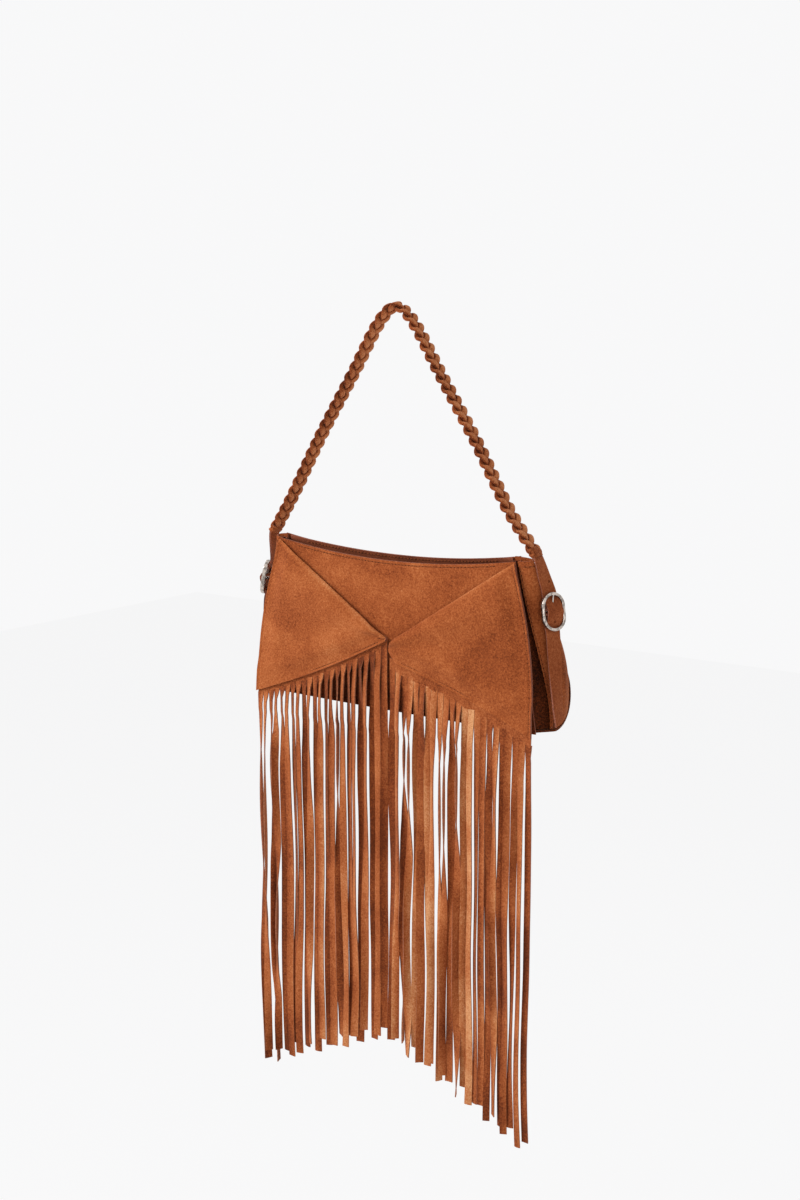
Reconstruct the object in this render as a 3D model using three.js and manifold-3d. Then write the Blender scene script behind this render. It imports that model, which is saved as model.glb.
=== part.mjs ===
// Fringed suede shoulder bag, hanging by the crown of its plaited strap.
// Millimetres, +X to the bag's right seen from the front, +Y from front to back, +Z up.
// The bag is drawn from the middle of its mouth, and the whole is then moved to the hanging point.
import * as THREE from "three";
import { mergeVertices } from "three/addons/utils/BufferGeometryUtils.js";
import Module from "manifold-3d";

const wasm = await Module();
wasm.setup();

// Leather and seams
const panel = 1.6; // suede with its lining
const facing = 0.8; // thin leather inside the mouth
const gap = 0.3; // between pieces that are sewn together
const lap = 4; // how far a panel laps over a gusset's edge

// Body
const mouthHalfWidth = 139;
const baseHalfWidth = 173;
const frontNarrow = 12; // the front panel is this much narrower at its foot, each side
const bodyHeight = 160;
const mouthSag = 11.6; // the mouth dips this far between its corners
const mouthDepth = 11;
const baseDepth = 63;
const depthSwell = 2.2; // how soon the body fills out below the mouth
const baseLean = 4; // the front panel's foot stands this far back
const bellyMiddle = 3.5; // the front panel swells forward
const bellyFoot = 4;
const backRise = 4; // the back panel stands above the front
const baseRound = 40; // radius from the base up into the back panel
const baseLip = 1.5; // the panels reach this far below the base
const ridgeOut = 15; // the gusset folds this far out past the panels' edges
const ridgeMouth = 11.5; // and this far at the mouth
const ridgeOpens = 0.25; // share of the height below the mouth in which the fold opens
const ridgeRound = 5; // keeps the narrow fold at the mouth from closing up
const ridgeFade = 4; // the fold keeps its depth until near the base
const foldInset = 0.16; // share of ridgeRound that the narrow fold is set in at its seams
const gussetClear = 0.75; // between the gusset and the panels that lap it
const facingHeight = 26;
const facingInset = 7; // facing's ends inside the mouth corners
const frontSeat = 0.45; // gap between a facing and its panel; the back panel curves more
const backSeat = 1.1;
const snapDepth = 17; // snap centre below the mouth edge
const snapRadius = 9;
const studThickness = 1.8;
const socketThickness = 2.4;
const studRadius = 3.4;
const studReach = 1.6;
const snapBevel = 1;
const snapWaist = 0.6; // share of a snap's thickness where its bevel starts
const socketFloor = 0.6;

// Wings
const wingEdge = 2.4; // two layers of suede along the seams
const wingPuff = 2.6; // extra loft in the middle
const wingRoll = 1.4; // extra loft along the rolled fold
const rollGrows = [0.6, 0.9]; // shares of the height between which that loft grows
const wingDrop = bodyHeight; // bottom corner below the mouth corner
const wingCornerX = baseHalfWidth - 8;
const wingBow = 7; // outward bow of the outer edge
const wingFlare = 11; // the bottom corner stands off the body
const flareFade = 1.5; // above 1 the flare keeps to the corner
const wingTipZ = -0.5375 * bodyHeight; // where the two wings meet
const rightTipDrop = 22; // height of the right wing's rounded tip
const leftTipDrop = 3;
const wingSplit = 1; // half the gap between the two tips
const wingSeamDip = 4; // sag of a wing's bottom edge
const rollFrom = 0.86; // where the fold starts to round over, as a share of the wing's height
const foldEdge = 0.25; // least share of the loft left at the fold
const puffSpread = 0.7; // below 1 the loft reaches closer to the seams

// Fringe
const fringe = 1.5;
const stripCount = 23;
const stripWidth = 5.8;
const fringeDrop = 565; // strip ends below the mouth corners, at the outer corners
const centreFoot = fringeDrop - 72; // and at the centre
const bandAbove = 7; // sewn up behind the wing
const bandRoom = [19, 39]; // above the seam, where the room behind the wing closes over the band
const bandSkin = 0.1; // strips are this much thinner than the band on each face
const bandBelow = 13; // uncut below the wing
const stripSway = 1.6; // sideways
const swayTurn = 1.6; // half waves of sway in a strip's length
const swayStep = 0.35; // from one strip to the next
const stripWave = 0.4; // forwards and back
const stripLayer = 1.8; // every other strip hangs this far in front
const stripJitter = 7; // how unevenly the strips end

// Strap
const strapRise = 229; // crown of the strap's middle line above the mouth corners
const strapY = 8;
const plaitHalfWidth = 5.4; // swing of a strand's middle line
const plaitLift = 1.7; // over and under
const strandWidth = 5.8;
const strand = 2.6;
const plaitPeriod = 33;
const plaitThin = 0.3; // share of a strand's thickness left between strands
const plaitEdge = 0.45; // and at the plait's edges
const plaitFlat = 0.7; // above 0 a strand lies flat over its neighbours before it dives
const strandSlant = 0.35; // how much wider a strand is where it crosses at a slant
const strapClear = 2.6; // strap end outside the mouth corner's fold
const wrapLength = 10;
const wrapWall = 1.2;
const wrapDown = 0.6; // share of the wrap below the plait's end

// Buckles and strap ends
const billet = 2;
const billetWidth = 15;
const billetFade = 0.72; // share of the width at the tail's tip
const holePitch = 18.5;
const holeRadius = 1.6;
const holeSlot = 2.6; // extra length of the hole that the prong passes
const slotBelow = 2.2; // middle of that hole below the place where the strap end dives
const diveRise = 4.2; // that place above the straight of the frame
const diveDeep = 2.2; // and in front of the strap end behind the rims
const bendFlat = 0.9; // the bend round the bar is this much flatter above and below
const tailTaper = 14; // length of the tapered tip
const neckBend = [0.7, 0.6, 0.6]; // shares of the way from the wrap to the frame
const neckSettle = 0.08;
const tailBend = [0.5, 0.42, 0.55]; // and from the frame to the tail's tip
const tailTurn = 2; // degrees that the tail turns beyond the frame
const buckleDrop = 45; // bar below the mouth corner
const buckleTurn = 24; // degrees towards the front
const buckleLean = 10; // degrees, foot outwards
const rimClear = 1.1; // between a rim and the strap end behind it
const buckleStandoff = 9.3; // bar in front of the gusset's fold
const wire = 3;
const frameWidth = 25;
const frameHeight = 36;
const bar = 2.8;
const prong = 2;
const eyeWidth = 3;
const eyeWall = 1;
const prongPast = 0.6; // tip beyond the rim's middle
const prongBow = 0.6; // bow of the shank off the frame's plane
const chape = 1.2;
const chapeWidth = 12;
const chapeLength = 26;
const chapeSlot = 4.2;
const chapeClear = 1.8; // behind the chape, where it is sewn to the gusset
const tailDrop = bodyHeight - 12; // tail's tip below the mouth corner
const tailOut = baseHalfWidth + 11;
const tailY = 10;
const tailSlant = 4; // the tail is cut at a slant

const suede = { color: 0xa5572f, roughness: 0.95, metalness: 0 };
const suedeDark = { color: 0x86452a, roughness: 0.95, metalness: 0 };
const suedeFringe = { color: 0x984c27, roughness: 0.95, metalness: 0 };
const smoothLeather = { color: 0x6d3520, roughness: 0.7, metalness: 0 };
const silver = { color: 0xcebdb3, roughness: 0.22, metalness: 1 };

const bag = new THREE.Group();

const mix = THREE.MathUtils.lerp;
const clamp = THREE.MathUtils.clamp;
const step = THREE.MathUtils.smoothstep;
const vec = (x, y, z) => new THREE.Vector3(x, y, z);

function addMesh(group, name, geometry, finish) {
  const mesh = new THREE.Mesh(geometry, new THREE.MeshStandardMaterial(finish));
  mesh.name = name;
  group.add(mesh);
  return mesh;
}

// A flat box of nu by nv by nw cells, each corner moved to place(u, v, w) with u, v and w from 0 to 1.
function moulded(nu, nv, nw, place) {
  const geometry = new THREE.BoxGeometry(1, 1, 1, nu, nv, nw);
  const p = geometry.attributes.position;
  for (let i = 0; i < p.count; i++) {
    const at = place(p.getX(i) + 0.5, p.getY(i) + 0.5, p.getZ(i) + 0.5);
    p.setXYZ(i, at.x, at.y, at.z);
  }
  geometry.computeVertexNormals();
  return geometry;
}

// A sheet whose outer face is at(u, v); u cross v points through its thickness.
function sheet(nu, nv, thickness, at, inset = 0) {
  const e = 1e-3;
  return moulded(nu, nv, 1, (u, v, w) => {
    const du = at(Math.min(u + e, 1), v).sub(at(Math.max(u - e, 0), v));
    const dv = at(u, Math.min(v + e, 1)).sub(at(u, Math.max(v - e, 0)));
    const through = du.cross(dv).normalize();
    return at(u, v).addScaledVector(through, inset + w * thickness);
  });
}

function solidOf(geometry) {
  const bare = geometry.clone();
  bare.deleteAttribute("normal");
  bare.deleteAttribute("uv");
  const merged = mergeVertices(bare, 1e-4);
  return new wasm.Manifold(
    new wasm.Mesh({
      numProp: 3,
      vertProperties: merged.attributes.position.array,
      triVerts: new Uint32Array(merged.index.array),
    }),
  );
}

function geometryOf(solid) {
  const m = solid.getMesh();
  const geometry = new THREE.BufferGeometry();
  geometry.setAttribute("position", new THREE.BufferAttribute(m.vertProperties, 3));
  geometry.setIndex(new THREE.BufferAttribute(m.triVerts, 1));
  geometry.computeVertexNormals();
  return geometry;
}

const joined = (pieces) => geometryOf(pieces.map(solidOf).reduce((a, b) => a.add(b)));
const cut = (piece, cutters) =>
  geometryOf(cutters.map(solidOf).reduce((a, b) => a.subtract(b), solidOf(piece)));

// Body: t runs from 0 at the mouth to 1 at the foot, u from -1 to 1 across.
const halfWidth = (t) => mix(mouthHalfWidth, baseHalfWidth, t);
const frontHalfWidth = (t) => halfWidth(t) - frontNarrow * t;
const belly = (t) => bellyFoot * t + bellyMiddle * Math.sin(Math.PI * clamp(t, 0, 1));
const depth = (t) => mix(mouthDepth, baseDepth, 1 - (1 - clamp(t, 0, 1)) ** depthSwell);
const frontEdgeY = (t) => baseLean * t;
const dip = (u) => mouthSag * (1 - u * u);

// Front panel's face at x, z.
function frontY(x, z) {
  const t = clamp(-z / bodyHeight, 0, 1);
  const u = clamp(x / frontHalfWidth(t), -1, 1);
  return frontEdgeY(t) - belly(t) * (1 - u * u);
}

function frontAt(u, s) {
  const z = mix(-dip(u), -bodyHeight, s);
  const x = u * frontHalfWidth(clamp(-z / bodyHeight, 0, 1));
  return vec(x, frontY(x, z), z);
}

const baseZ = -bodyHeight + baseLip;
const backFootZ = baseZ + baseRound + gap;

function backAt(u, s) {
  const z = mix(backRise - dip(u), backFootZ, s);
  const t = clamp(-z / bodyHeight, 0, 1);
  return vec(u * halfWidth(t), depth(t), z);
}

const footDepth = depth(-backFootZ / bodyHeight);

function baseAt(u, v) {
  const t = -baseZ / bodyHeight;
  const frontX = u * frontHalfWidth(t);
  const y0 = frontY(frontX, baseZ) + panel + gap;
  const flat = footDepth - baseRound - y0;
  const along = v * (flat + (baseRound * Math.PI) / 2);
  if (along < flat) return vec(mix(frontX, u * halfWidth(t), along / flat), y0 + along, baseZ);
  const a = (along - flat) / baseRound;
  const y = footDepth - baseRound + baseRound * Math.sin(a);
  const z = baseZ + baseRound * (1 - Math.cos(a));
  return vec(u * halfWidth(-z / bodyHeight), y, z);
}

// Height of the base's upper face at depth y.
function baseTop(y) {
  const r = baseRound - panel - gussetClear;
  const past = clamp(y - (footDepth - baseRound), 0, r);
  return baseZ + baseRound - Math.sqrt(r * r - past * past);
}

// Gusset: s runs from the front seam over the fold to the back seam.
function gussetRow(t, v) {
  const front = frontHalfWidth(t) - lap;
  const back = halfWidth(t) - lap;
  const round = ridgeRound * (1 - t) ** ridgeFade;
  const y0 = frontEdgeY(t) + panel + gap + foldInset * round;
  const y3 = Math.min(depth(t), footDepth) - panel - gussetClear - foldInset * round;
  const ridge = mix(ridgeMouth, ridgeOut * (1 - v ** ridgeFade), step(v, 0, ridgeOpens));
  const handle = (halfWidth(t) + ridge - (front + back) / 8) / 0.75; // puts the curve's middle on the ridge
  return [vec(front, y0, 0), vec(handle, y0 - round, 0), vec(handle, y3 + round, 0), vec(back, y3, 0)];
}

function gussetAt(s, v) {
  const at = vec(0, 0, mix(backRise * s, -bodyHeight, v));
  for (let pass = 0; pass < 4; pass++) {
    const row = new THREE.CubicBezierCurve3(...gussetRow(clamp(-at.z / bodyHeight, 0, 1), v));
    at.copy(row.getPoint(s));
    at.z = mix(backRise * s, baseTop(at.y), v);
  }
  return at;
}

const columns = 12;
const across = (u) => 2 * u - 1;

function addBody() {
  const front = sheet(columns, 8, panel, (u, v) => frontAt(-across(u), 1 - v));
  const back = sheet(columns, 12, panel, (u, v) => backAt(across(u), 1 - v));
  addMesh(bag, "front_panel", front, suede);
  addMesh(bag, "back_panel", back, suedeDark);
  addMesh(bag, "base_panel", sheet(8, 7, panel, (u, v) => baseAt(across(u), v)), suedeDark);

  const share = facingHeight / bodyHeight;
  const inside = 1 - facingInset / mouthHalfWidth;
  const frontFacing = (u, v) => frontAt(-inside * across(u), share * (1 - v));
  const backFacing = (u, v) => backAt(inside * across(u), share * (1 - v));
  addMesh(bag, "front_facing", sheet(columns, 3, facing, frontFacing, panel + frontSeat), smoothLeather);
  addMesh(bag, "back_facing", sheet(columns, 3, facing, backFacing, panel + backSeat), smoothLeather);
}

function addGusset(half, side) {
  addMesh(half, "gusset_" + side, sheet(12, 10, panel, (u, v) => gussetAt(1 - u, 1 - v)), suedeDark);
}

// Magnetic snap, open: the stud on the front facing, the socket on the back facing.
function addSnap() {
  const z = -mouthSag - snapDepth;
  const seat = panel + facing + gap;
  const frontFace = Math.max(frontY(0, z + snapRadius), frontY(0, z)) + seat + frontSeat;
  const backFace = depth(-(z + snapRadius) / bodyHeight) - seat - backSeat - gap;
  const stud = new THREE.LatheGeometry(
    [
      new THREE.Vector2(0, 0),
      new THREE.Vector2(snapRadius, 0),
      new THREE.Vector2(snapRadius, studThickness * snapWaist),
      new THREE.Vector2(snapRadius - snapBevel, studThickness),
      new THREE.Vector2(studRadius, studThickness),
      new THREE.Vector2(studRadius, studThickness + studReach),
      new THREE.Vector2(0, studThickness + studReach),
    ],
    18,
  );
  const socket = new THREE.LatheGeometry(
    [
      new THREE.Vector2(0, 0),
      new THREE.Vector2(snapRadius, 0),
      new THREE.Vector2(snapRadius, socketThickness * snapWaist),
      new THREE.Vector2(snapRadius - snapBevel, socketThickness),
      new THREE.Vector2(studRadius + gap, socketThickness),
      new THREE.Vector2(studRadius + gap, socketFloor),
      new THREE.Vector2(0, socketFloor),
    ],
    18,
  );
  const studMesh = addMesh(bag, "snap_stud", stud, silver);
  studMesh.position.set(0, frontFace, z);
  const socketMesh = addMesh(bag, "snap_socket", socket, silver);
  socketMesh.rotation.x = Math.PI;
  socketMesh.position.set(0, backFace, z);
}

// Wings: u runs from the outer edge to the tip, v from the seam at the bottom to the rolled fold.
const tipShare = (x, reach) => 1 - clamp((x - wingSplit) / (reach - wingSplit), 0, 1);

// Bottom seam of a wing at x; the right wing's blunt tip sags, the left wing's sharp tip lifts.
function seamZ(x, tipDrop) {
  const u = tipShare(x, wingCornerX);
  const sag = (tipDrop > lap ? 1 : -1) * wingSeamDip;
  return mix(-wingDrop, wingTipZ - tipDrop, u) + sag * Math.sin(Math.PI * u);
}

const foldZ = (x) => mix(-1, wingTipZ, tipShare(x, mouthHalfWidth));
const fringeRoom = fringe + 2 * gap;

// Back face of a wing at x, z: close to the body along the fold, off it along the seam.
function wingBack(x, z, tipDrop) {
  const low = seamZ(x, tipDrop);
  const v = clamp((z - low) / Math.max(foldZ(x) - low, 1), 0, 1);
  const flare = wingFlare * (1 - tipShare(x, wingCornerX)) ** flareFade * (1 - v);
  const room = fringeRoom * (1 - step(z - low, ...bandRoom));
  return frontY(x, z) - gap - room - flare;
}

function wingShape(u, v, tipDrop) {
  const outer = mix(wingCornerX, mouthHalfWidth, v) + wingBow * Math.sin(Math.PI * v);
  const nose = (tipDrop / 3) * (1 - Math.sin(Math.PI * v));
  const x = mix(outer, wingSplit + nose, u);
  const low = seamZ(mix(wingCornerX, wingSplit + nose, u), tipDrop);
  return [x, mix(low, mix(-1, wingTipZ, u), v)];
}

function wingAt(u, v, w, tipDrop) {
  const [x, z] = wingShape(u, v, tipDrop);
  const past = Math.max(v - rollFrom, 0) / (1 - rollFrom);
  const roll = Math.max(foldEdge, Math.sqrt(1 - past * past));
  const puff = wingPuff * (Math.sin(Math.PI * u) * Math.sin(Math.PI * v)) ** puffSpread;
  const loft = (wingEdge + wingRoll * step(v, ...rollGrows) + puff) * roll;
  const back = wingBack(x, z, tipDrop) - ((1 - roll) * wingEdge) / 2;
  return vec(x, back - (1 - w) * loft, z);
}

function addWing(half, side, tipDrop) {
  addMesh(half, "wing_" + side, moulded(12, 10, 1, (u, v, w) => wingAt(u, v, w, tipDrop)), suede);
}

// Fringe: one comb a side, sewn up behind the wing's bottom edge.
const fringeFront = (x, z, tipDrop) => wingBack(x, Math.max(z, seamZ(x, tipDrop)), tipDrop) + gap;

// Below the seam the comb hangs straight down, clear of the body's front.
function combY(x, z, tipDrop) {
  const seam = seamZ(x, tipDrop);
  if (z >= seam) return fringeFront(x, z, tipDrop);
  const clear = Math.min(frontY(x, seam - bandBelow), frontY(x, z)) - fringe - gap;
  return Math.min(fringeFront(x, seam, tipDrop), clear);
}

function addFringe(half, side, tipDrop) {
  const first = wingSplit + gap;
  const pitch = (wingCornerX - first) / stripCount;
  const blunt = tipDrop / 3;
  const top = (x) => {
    const tucked = tipDrop > lap ? step(x, blunt, blunt + 12) : 1;
    return Math.min(seamZ(x, tipDrop) + mix(2, bandAbove, tucked), foldZ(x) - 1);
  };
  const band = moulded(stripCount, 3, 1, (u, v, w) => {
    const x = mix(wingCornerX - 1, first, u);
    const seam = seamZ(x, tipDrop);
    const z = [seam - bandBelow, seam, mix(seam, top(x), 0.5), top(x)][Math.round(3 * v)];
    return vec(x, combY(x, z, tipDrop) + w * fringe, z);
  });
  const strips = Array.from({ length: stripCount }, (_, i) => {
    const middle = first + pitch * (i + 0.5);
    const seam = seamZ(middle, tipDrop);
    const jitter = stripJitter * Math.sin(2.4 * i + (tipDrop > lap ? 1 : 4));
    const foot = -mix(centreFoot, fringeDrop, middle / wingCornerX) - jitter;
    const wave = stripWave * Math.sin(0.9 * i + 2 * Math.sin(i));
    const layer = i % 2 ? -stripLayer : 0;
    return moulded(1, 6, 1, (u, v, w) => {
      const hang = 1 - v;
      const x = middle + (0.5 - u) * stripWidth;
      const z = mix(foot, seam - bandBelow + 3, v);
      const sway = stripSway * Math.sin(Math.PI * hang * swayTurn + swayStep * i) * hang;
      const forward = layer * Math.sin((Math.PI * hang) / 2) + wave * hang;
      const y = combY(x, seam - bandBelow, tipDrop) + forward + bandSkin + w * (fringe - 2 * bandSkin);
      return vec(x + sway, y, z);
    });
  });
  addMesh(half, "fringe_" + side, joined([band, ...strips]), suedeFringe);
}

// Strap: three strands of one leather, plaited flat, bent over at the crown.
const strapEnd = vec(mouthHalfWidth + ridgeMouth + strapClear, strapY + 3, 9);
const legShares = [
  [0.065, 0.983],
  [0.144, 0.926],
  [0.327, 0.734],
  [0.598, 0.459],
  [0.836, 0.192],
];
const legPoints = legShares.map(([out, up]) => vec(out * strapEnd.x, strapY, up * strapRise));
const strapLeg = [...legPoints, strapEnd];
const mirrored = (p) => vec(-p.x, p.y, p.z);
const strapCurve = new THREE.CatmullRomCurve3(
  [...strapLeg.map(mirrored).reverse(), vec(0, strapY, strapRise), ...strapLeg],
  false,
  "centripetal",
);
strapCurve.arcLengthDivisions = 800;

const strapLength = strapCurve.getLength();
const plaits = Math.round(strapLength / plaitPeriod);

// Where strand k runs across and through the plait, k from 0 to 2.
function strandAt(turn, k) {
  const phase = turn + (2 * Math.PI * k) / 3;
  const lift = Math.sin(2 * phase);
  const slope = (plaitHalfWidth * Math.cos(phase) * 2 * Math.PI * plaits) / strapLength;
  return {
    across: plaitHalfWidth * Math.sin(phase),
    through: (plaitLift * lift) / Math.sqrt(1 - plaitFlat + plaitFlat * lift * lift),
    half: (strandWidth / 2) * Math.sqrt(1 + slope * slope * strandSlant),
  };
}

// Face of the plait at y across: the strand that lies furthest to that side.
function plaitFace(strands, y, side) {
  const covering = strands.filter((s) => Math.abs(y - s.across) < s.half);
  const heights = covering.map((s) => {
    const crown = Math.sqrt(1 - ((y - s.across) / s.half) ** 2);
    return side * s.through + (strand / 2) * Math.max(plaitThin, crown);
  });
  return side * Math.max(strand * plaitThin, ...heights);
}

function strapAt(u, v, w) {
  const along = strapCurve.getTangentAt(v);
  const out = vec(0, 1, 0).cross(along).normalize();
  const turn = 2 * Math.PI * plaits * v + Math.PI / 6;
  const strands = [0, 1, 2].map((k) => strandAt(turn, k));
  const low = Math.min(...strands.map((s) => s.across)) - strandWidth / 2;
  const high = Math.max(...strands.map((s) => s.across)) + strandWidth / 2;
  const y = mix(low, high, u);
  const thin = 1 - (1 - plaitEdge) * Math.abs(2 * u - 1) ** 3;
  const point = strapCurve.getPointAt(v);
  point.addScaledVector(out, plaitFace(strands, y, w > 0.5 ? 1 : -1) * thin);
  point.y += y;
  return point;
}

function addStrap() {
  const plait = moulded(5, plaits * 9, 1, strapAt);
  addMesh(bag, "plaited_strap", plait, suedeDark);
}

// Buckle's own frame: x out from the bag, y along the bar, z up the strap end.
const buckle = new THREE.Group();
{
  const t = buckleDrop / bodyHeight;
  const fold = gussetAt(0.5, t);
  const turn = THREE.MathUtils.degToRad(buckleTurn);
  buckle.rotation.set(0, THREE.MathUtils.degToRad(-buckleLean), -turn, "ZYX");
  buckle.position.set(
    fold.x + buckleStandoff * Math.cos(turn),
    fold.y - buckleStandoff * Math.sin(turn),
    -buckleDrop,
  );
  buckle.updateMatrix();
}

const intoBuckle = (p) => p.applyMatrix4(buckle.matrix.clone().invert());
const outOfBuckle = (p) => p.applyMatrix4(buckle.matrix);

const barRadius = bar / 2;
const eyeInner = barRadius + gap;
const chapeInner = barRadius + gap;
const frontOfBar = chapeInner + chape + gap + billet / 2;
const behindRim = -(wire / 2 + rimClear + billet / 2);
const rimHeight = (frameHeight - wire) / 2;

// Middle line of a strap end, in the buckle's frame, from the wrap down to the tail's tip.
const strapFoot = strapCurve.getPointAt(1);
const strapFootWay = strapCurve.getTangentAt(1);
const belowStrap = (d) => intoBuckle(strapFoot.clone().addScaledVector(strapFootWay, d));
const billetTop = belowStrap(4 * gap);
const billetNeck = belowStrap(wrapLength * wrapDown);
const tailTip = intoBuckle(vec(tailOut, tailY, -tailDrop));
const straight = (frameHeight - frameWidth) / 2;
const crossing = straight + diveRise; // where the strap end dives through the frame
const atShares = (a, b, [x, y, z]) => vec(mix(a.x, b.x, x), mix(a.y, b.y, y), mix(a.z, b.z, z));
const aboveRim = vec(behindRim, 0, rimHeight);
const belowRim = vec(behindRim, 0, -rimHeight);
const billetCurve = new THREE.CatmullRomCurve3(
  [
    billetTop,
    billetNeck,
    atShares(billetNeck, aboveRim, neckBend),
    vec(behindRim - gap, billetNeck.y * neckSettle, rimHeight + 2 * billet),
    vec(behindRim, 0, rimHeight - billet),
    vec(behindRim + diveDeep, 0, crossing),
    vec(frontOfBar - bendFlat, 0, chapeInner + chape),
    vec(frontOfBar, 0, 0),
    vec(frontOfBar - bendFlat, 0, -chapeInner - chape),
    vec(behindRim + diveDeep, 0, -crossing),
    vec(behindRim, 0, -rimHeight + billet),
    vec(behindRim, 0, -rimHeight - 2.5 * billet),
    atShares(belowRim, tailTip, tailBend),
    tailTip,
  ],
  false,
  "centripetal",
);
billetCurve.arcLengthDivisions = 800;

// Turn of the strap end about its own length, in degrees, by height in the buckle's frame.
function billetTwist(z) {
  const upper = buckleTurn * step(z, rimHeight + billet, billetTop.z);
  const lower = (buckleTurn + tailTurn) * step(-z, rimHeight + 10 * billet, -tailTip.z);
  return THREE.MathUtils.degToRad(upper + lower);
}

function billetAt(u, v, w) {
  const along = billetCurve.getTangentAt(clamp(1 - v, 0, 1));
  const point = billetCurve.getPointAt(clamp(1 - v, 0, 1));
  const twist = billetTwist(point.z);
  const width = vec(-Math.sin(twist), Math.cos(twist), 0);
  const out = vec(0, 0, 0).crossVectors(along, width).normalize().negate();
  const taper = mix(1, billetFade, step(-point.z, -tailTip.z - tailTaper, -tailTip.z));
  const slant = v < 0.001 ? (u - 0.5) * tailSlant : 0;
  point.addScaledVector(width, (u - 0.5) * billetWidth * taper);
  point.addScaledVector(out, (w - 0.5) * billet * -1);
  point.z += slant;
  return outOfBuckle(point);
}

function addBuckle(half, side) {
  const local = (geometry) => geometry.applyMatrix4(buckle.matrix);
  const r = (frameWidth - wire) / 2;
  const arcs = 28;
  const rim = new THREE.TorusGeometry(r, wire / 2, 8, arcs);
  rim.rotateZ(Math.PI / arcs);
  const p = rim.attributes.position;
  for (let i = 0; i < p.count; i++) p.setY(i, p.getY(i) + Math.sign(p.getY(i)) * straight);
  rim.applyMatrix4(new THREE.Matrix4().makeBasis(vec(0, 1, 0), vec(0, 0, 1), vec(1, 0, 0)));
  const rod = new THREE.CylinderGeometry(barRadius, barRadius, 2 * r - wire / 6, 10);
  rod.rotateY(Math.PI / 15); // no facet of the bar lines up with one of the rim
  addMesh(half, "buckle_frame_" + side, local(joined([rim, rod])), silver);

  const eye = new THREE.Shape();
  eye.absarc(0, 0, eyeInner + eyeWall, 0, 2 * Math.PI);
  const bore = new THREE.Path();
  bore.absarc(0, 0, eyeInner, 0, 2 * Math.PI, true);
  eye.holes.push(bore);
  const loop = new THREE.ExtrudeGeometry(eye, { depth: eyeWidth, curveSegments: 6, bevelEnabled: false });
  loop.translate(0, 0, -eyeWidth / 2);
  loop.rotateX(Math.PI / 2);
  const pin = new THREE.Shape();
  pin.absarc(0, 0, prong / 2, 0, 2 * Math.PI);
  const tip = vec(wire / 2 + gap + prong / 2, 0, rimHeight + prongPast);
  const root = vec(0, 0, eyeInner + eyeWall / 2);
  const reach = new THREE.CatmullRomCurve3([root, vec(prongBow, 0, crossing - prong), tip]);
  const shank = new THREE.ExtrudeGeometry(pin, { steps: 5, curveSegments: 3, extrudePath: reach });
  addMesh(half, "prong_" + side, local(joined([loop, shank])), silver);

  const turnRadius = chapeInner;
  const leg = buckleStandoff - chapeClear - chape;
  const tab = (u, v) => {
    const y = (u - 0.5) * chapeWidth;
    const arc = Math.PI * turnRadius;
    const s = v * (2 * leg + arc);
    if (s < leg) return vec(-leg + s, y, -turnRadius);
    if (s > leg + arc) return vec(leg + arc - s, y, turnRadius);
    const a = (s - leg) / turnRadius;
    return vec(turnRadius * Math.sin(a), y, -turnRadius * Math.cos(a));
  };
  const wrapped = sheet(4, 14, chape, tab);
  const window = new THREE.BoxGeometry(chapeWidth, chapeSlot, chapeWidth);
  window.translate(chapeWidth / 2 - eyeInner - eyeWall - 2 * gap, 0, 0);
  const pad = new THREE.BoxGeometry(2 * chape, chapeWidth, chapeLength);
  pad.translate(-leg, 0, -chapeLength / 2 + turnRadius + chape);
  const chapeSolid = solidOf(wrapped).subtract(solidOf(window)).add(solidOf(pad));
  addMesh(half, "chape_" + side, local(geometryOf(chapeSolid)), suedeDark);

  const strapEndSheet = moulded(2, 44, 1, billetAt);
  const punch = (z) => {
    const hole = new THREE.CylinderGeometry(holeRadius, holeRadius, 8 * billet, 10);
    hole.rotateZ(Math.PI / 2);
    hole.translate(0, 0, z);
    return local(hole);
  };
  const prongSlot = new THREE.BoxGeometry(8 * billet, 2 * holeRadius, 2 * (holeRadius + holeSlot));
  prongSlot.translate(0, 0, crossing - slotBelow);
  const holes = [1.5, -0.5].map((n) => punch(n * holePitch));
  addMesh(half, "strap_end_" + side, cut(strapEndSheet, [...holes, local(prongSlot)]), suedeDark);

  addMesh(half, "strap_wrap_" + side, wrapGeometry(), suedeDark);
}

// Leather band round the end of the plait and the top of the strap end.
function wrapGeometry() {
  const oval = (shape, grow) => {
    const w = plaitHalfWidth + strandWidth / 2 + 2 * gap + grow;
    const h = plaitLift + strand / 2 + gap + grow;
    shape.moveTo(w - h, -h);
    shape.absarc(w - h, 0, h, -Math.PI / 2, Math.PI / 2);
    shape.absarc(h - w, 0, h, Math.PI / 2, (3 * Math.PI) / 2);
    return shape;
  };
  const section = oval(new THREE.Shape(), wrapWall);
  section.holes.push(oval(new THREE.Path(), 0));
  const sweep = { depth: wrapLength, curveSegments: 4, bevelEnabled: false };
  const wrap = new THREE.ExtrudeGeometry(section, sweep);
  const along = strapFootWay.clone();
  const width = vec(0, 1, 0).addScaledVector(along, -along.y).normalize();
  const through = vec(0, 0, 0).crossVectors(along, width);
  const basis = new THREE.Matrix4().makeBasis(width, through, along);
  basis.setPosition(strapFoot.clone().addScaledVector(along, wrapLength * (wrapDown - 1)));
  return wrap.applyMatrix4(basis);
}

addBody();
addSnap();
addStrap();
for (const [side, sign, tipDrop] of [
  ["left", -1, leftTipDrop],
  ["right", 1, rightTipDrop],
]) {
  const half = new THREE.Group();
  half.scale.x = sign;
  bag.add(half);
  addGusset(half, side);
  addWing(half, side, tipDrop);
  addFringe(half, side, tipDrop);
  addBuckle(half, side);
}

const part = new THREE.Group();
part.name = "fringed_suede_bag";
bag.position.set(0, -strapY, -(strapRise - plaitLift - strand / 2));
part.add(bag);

export default part;
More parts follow.
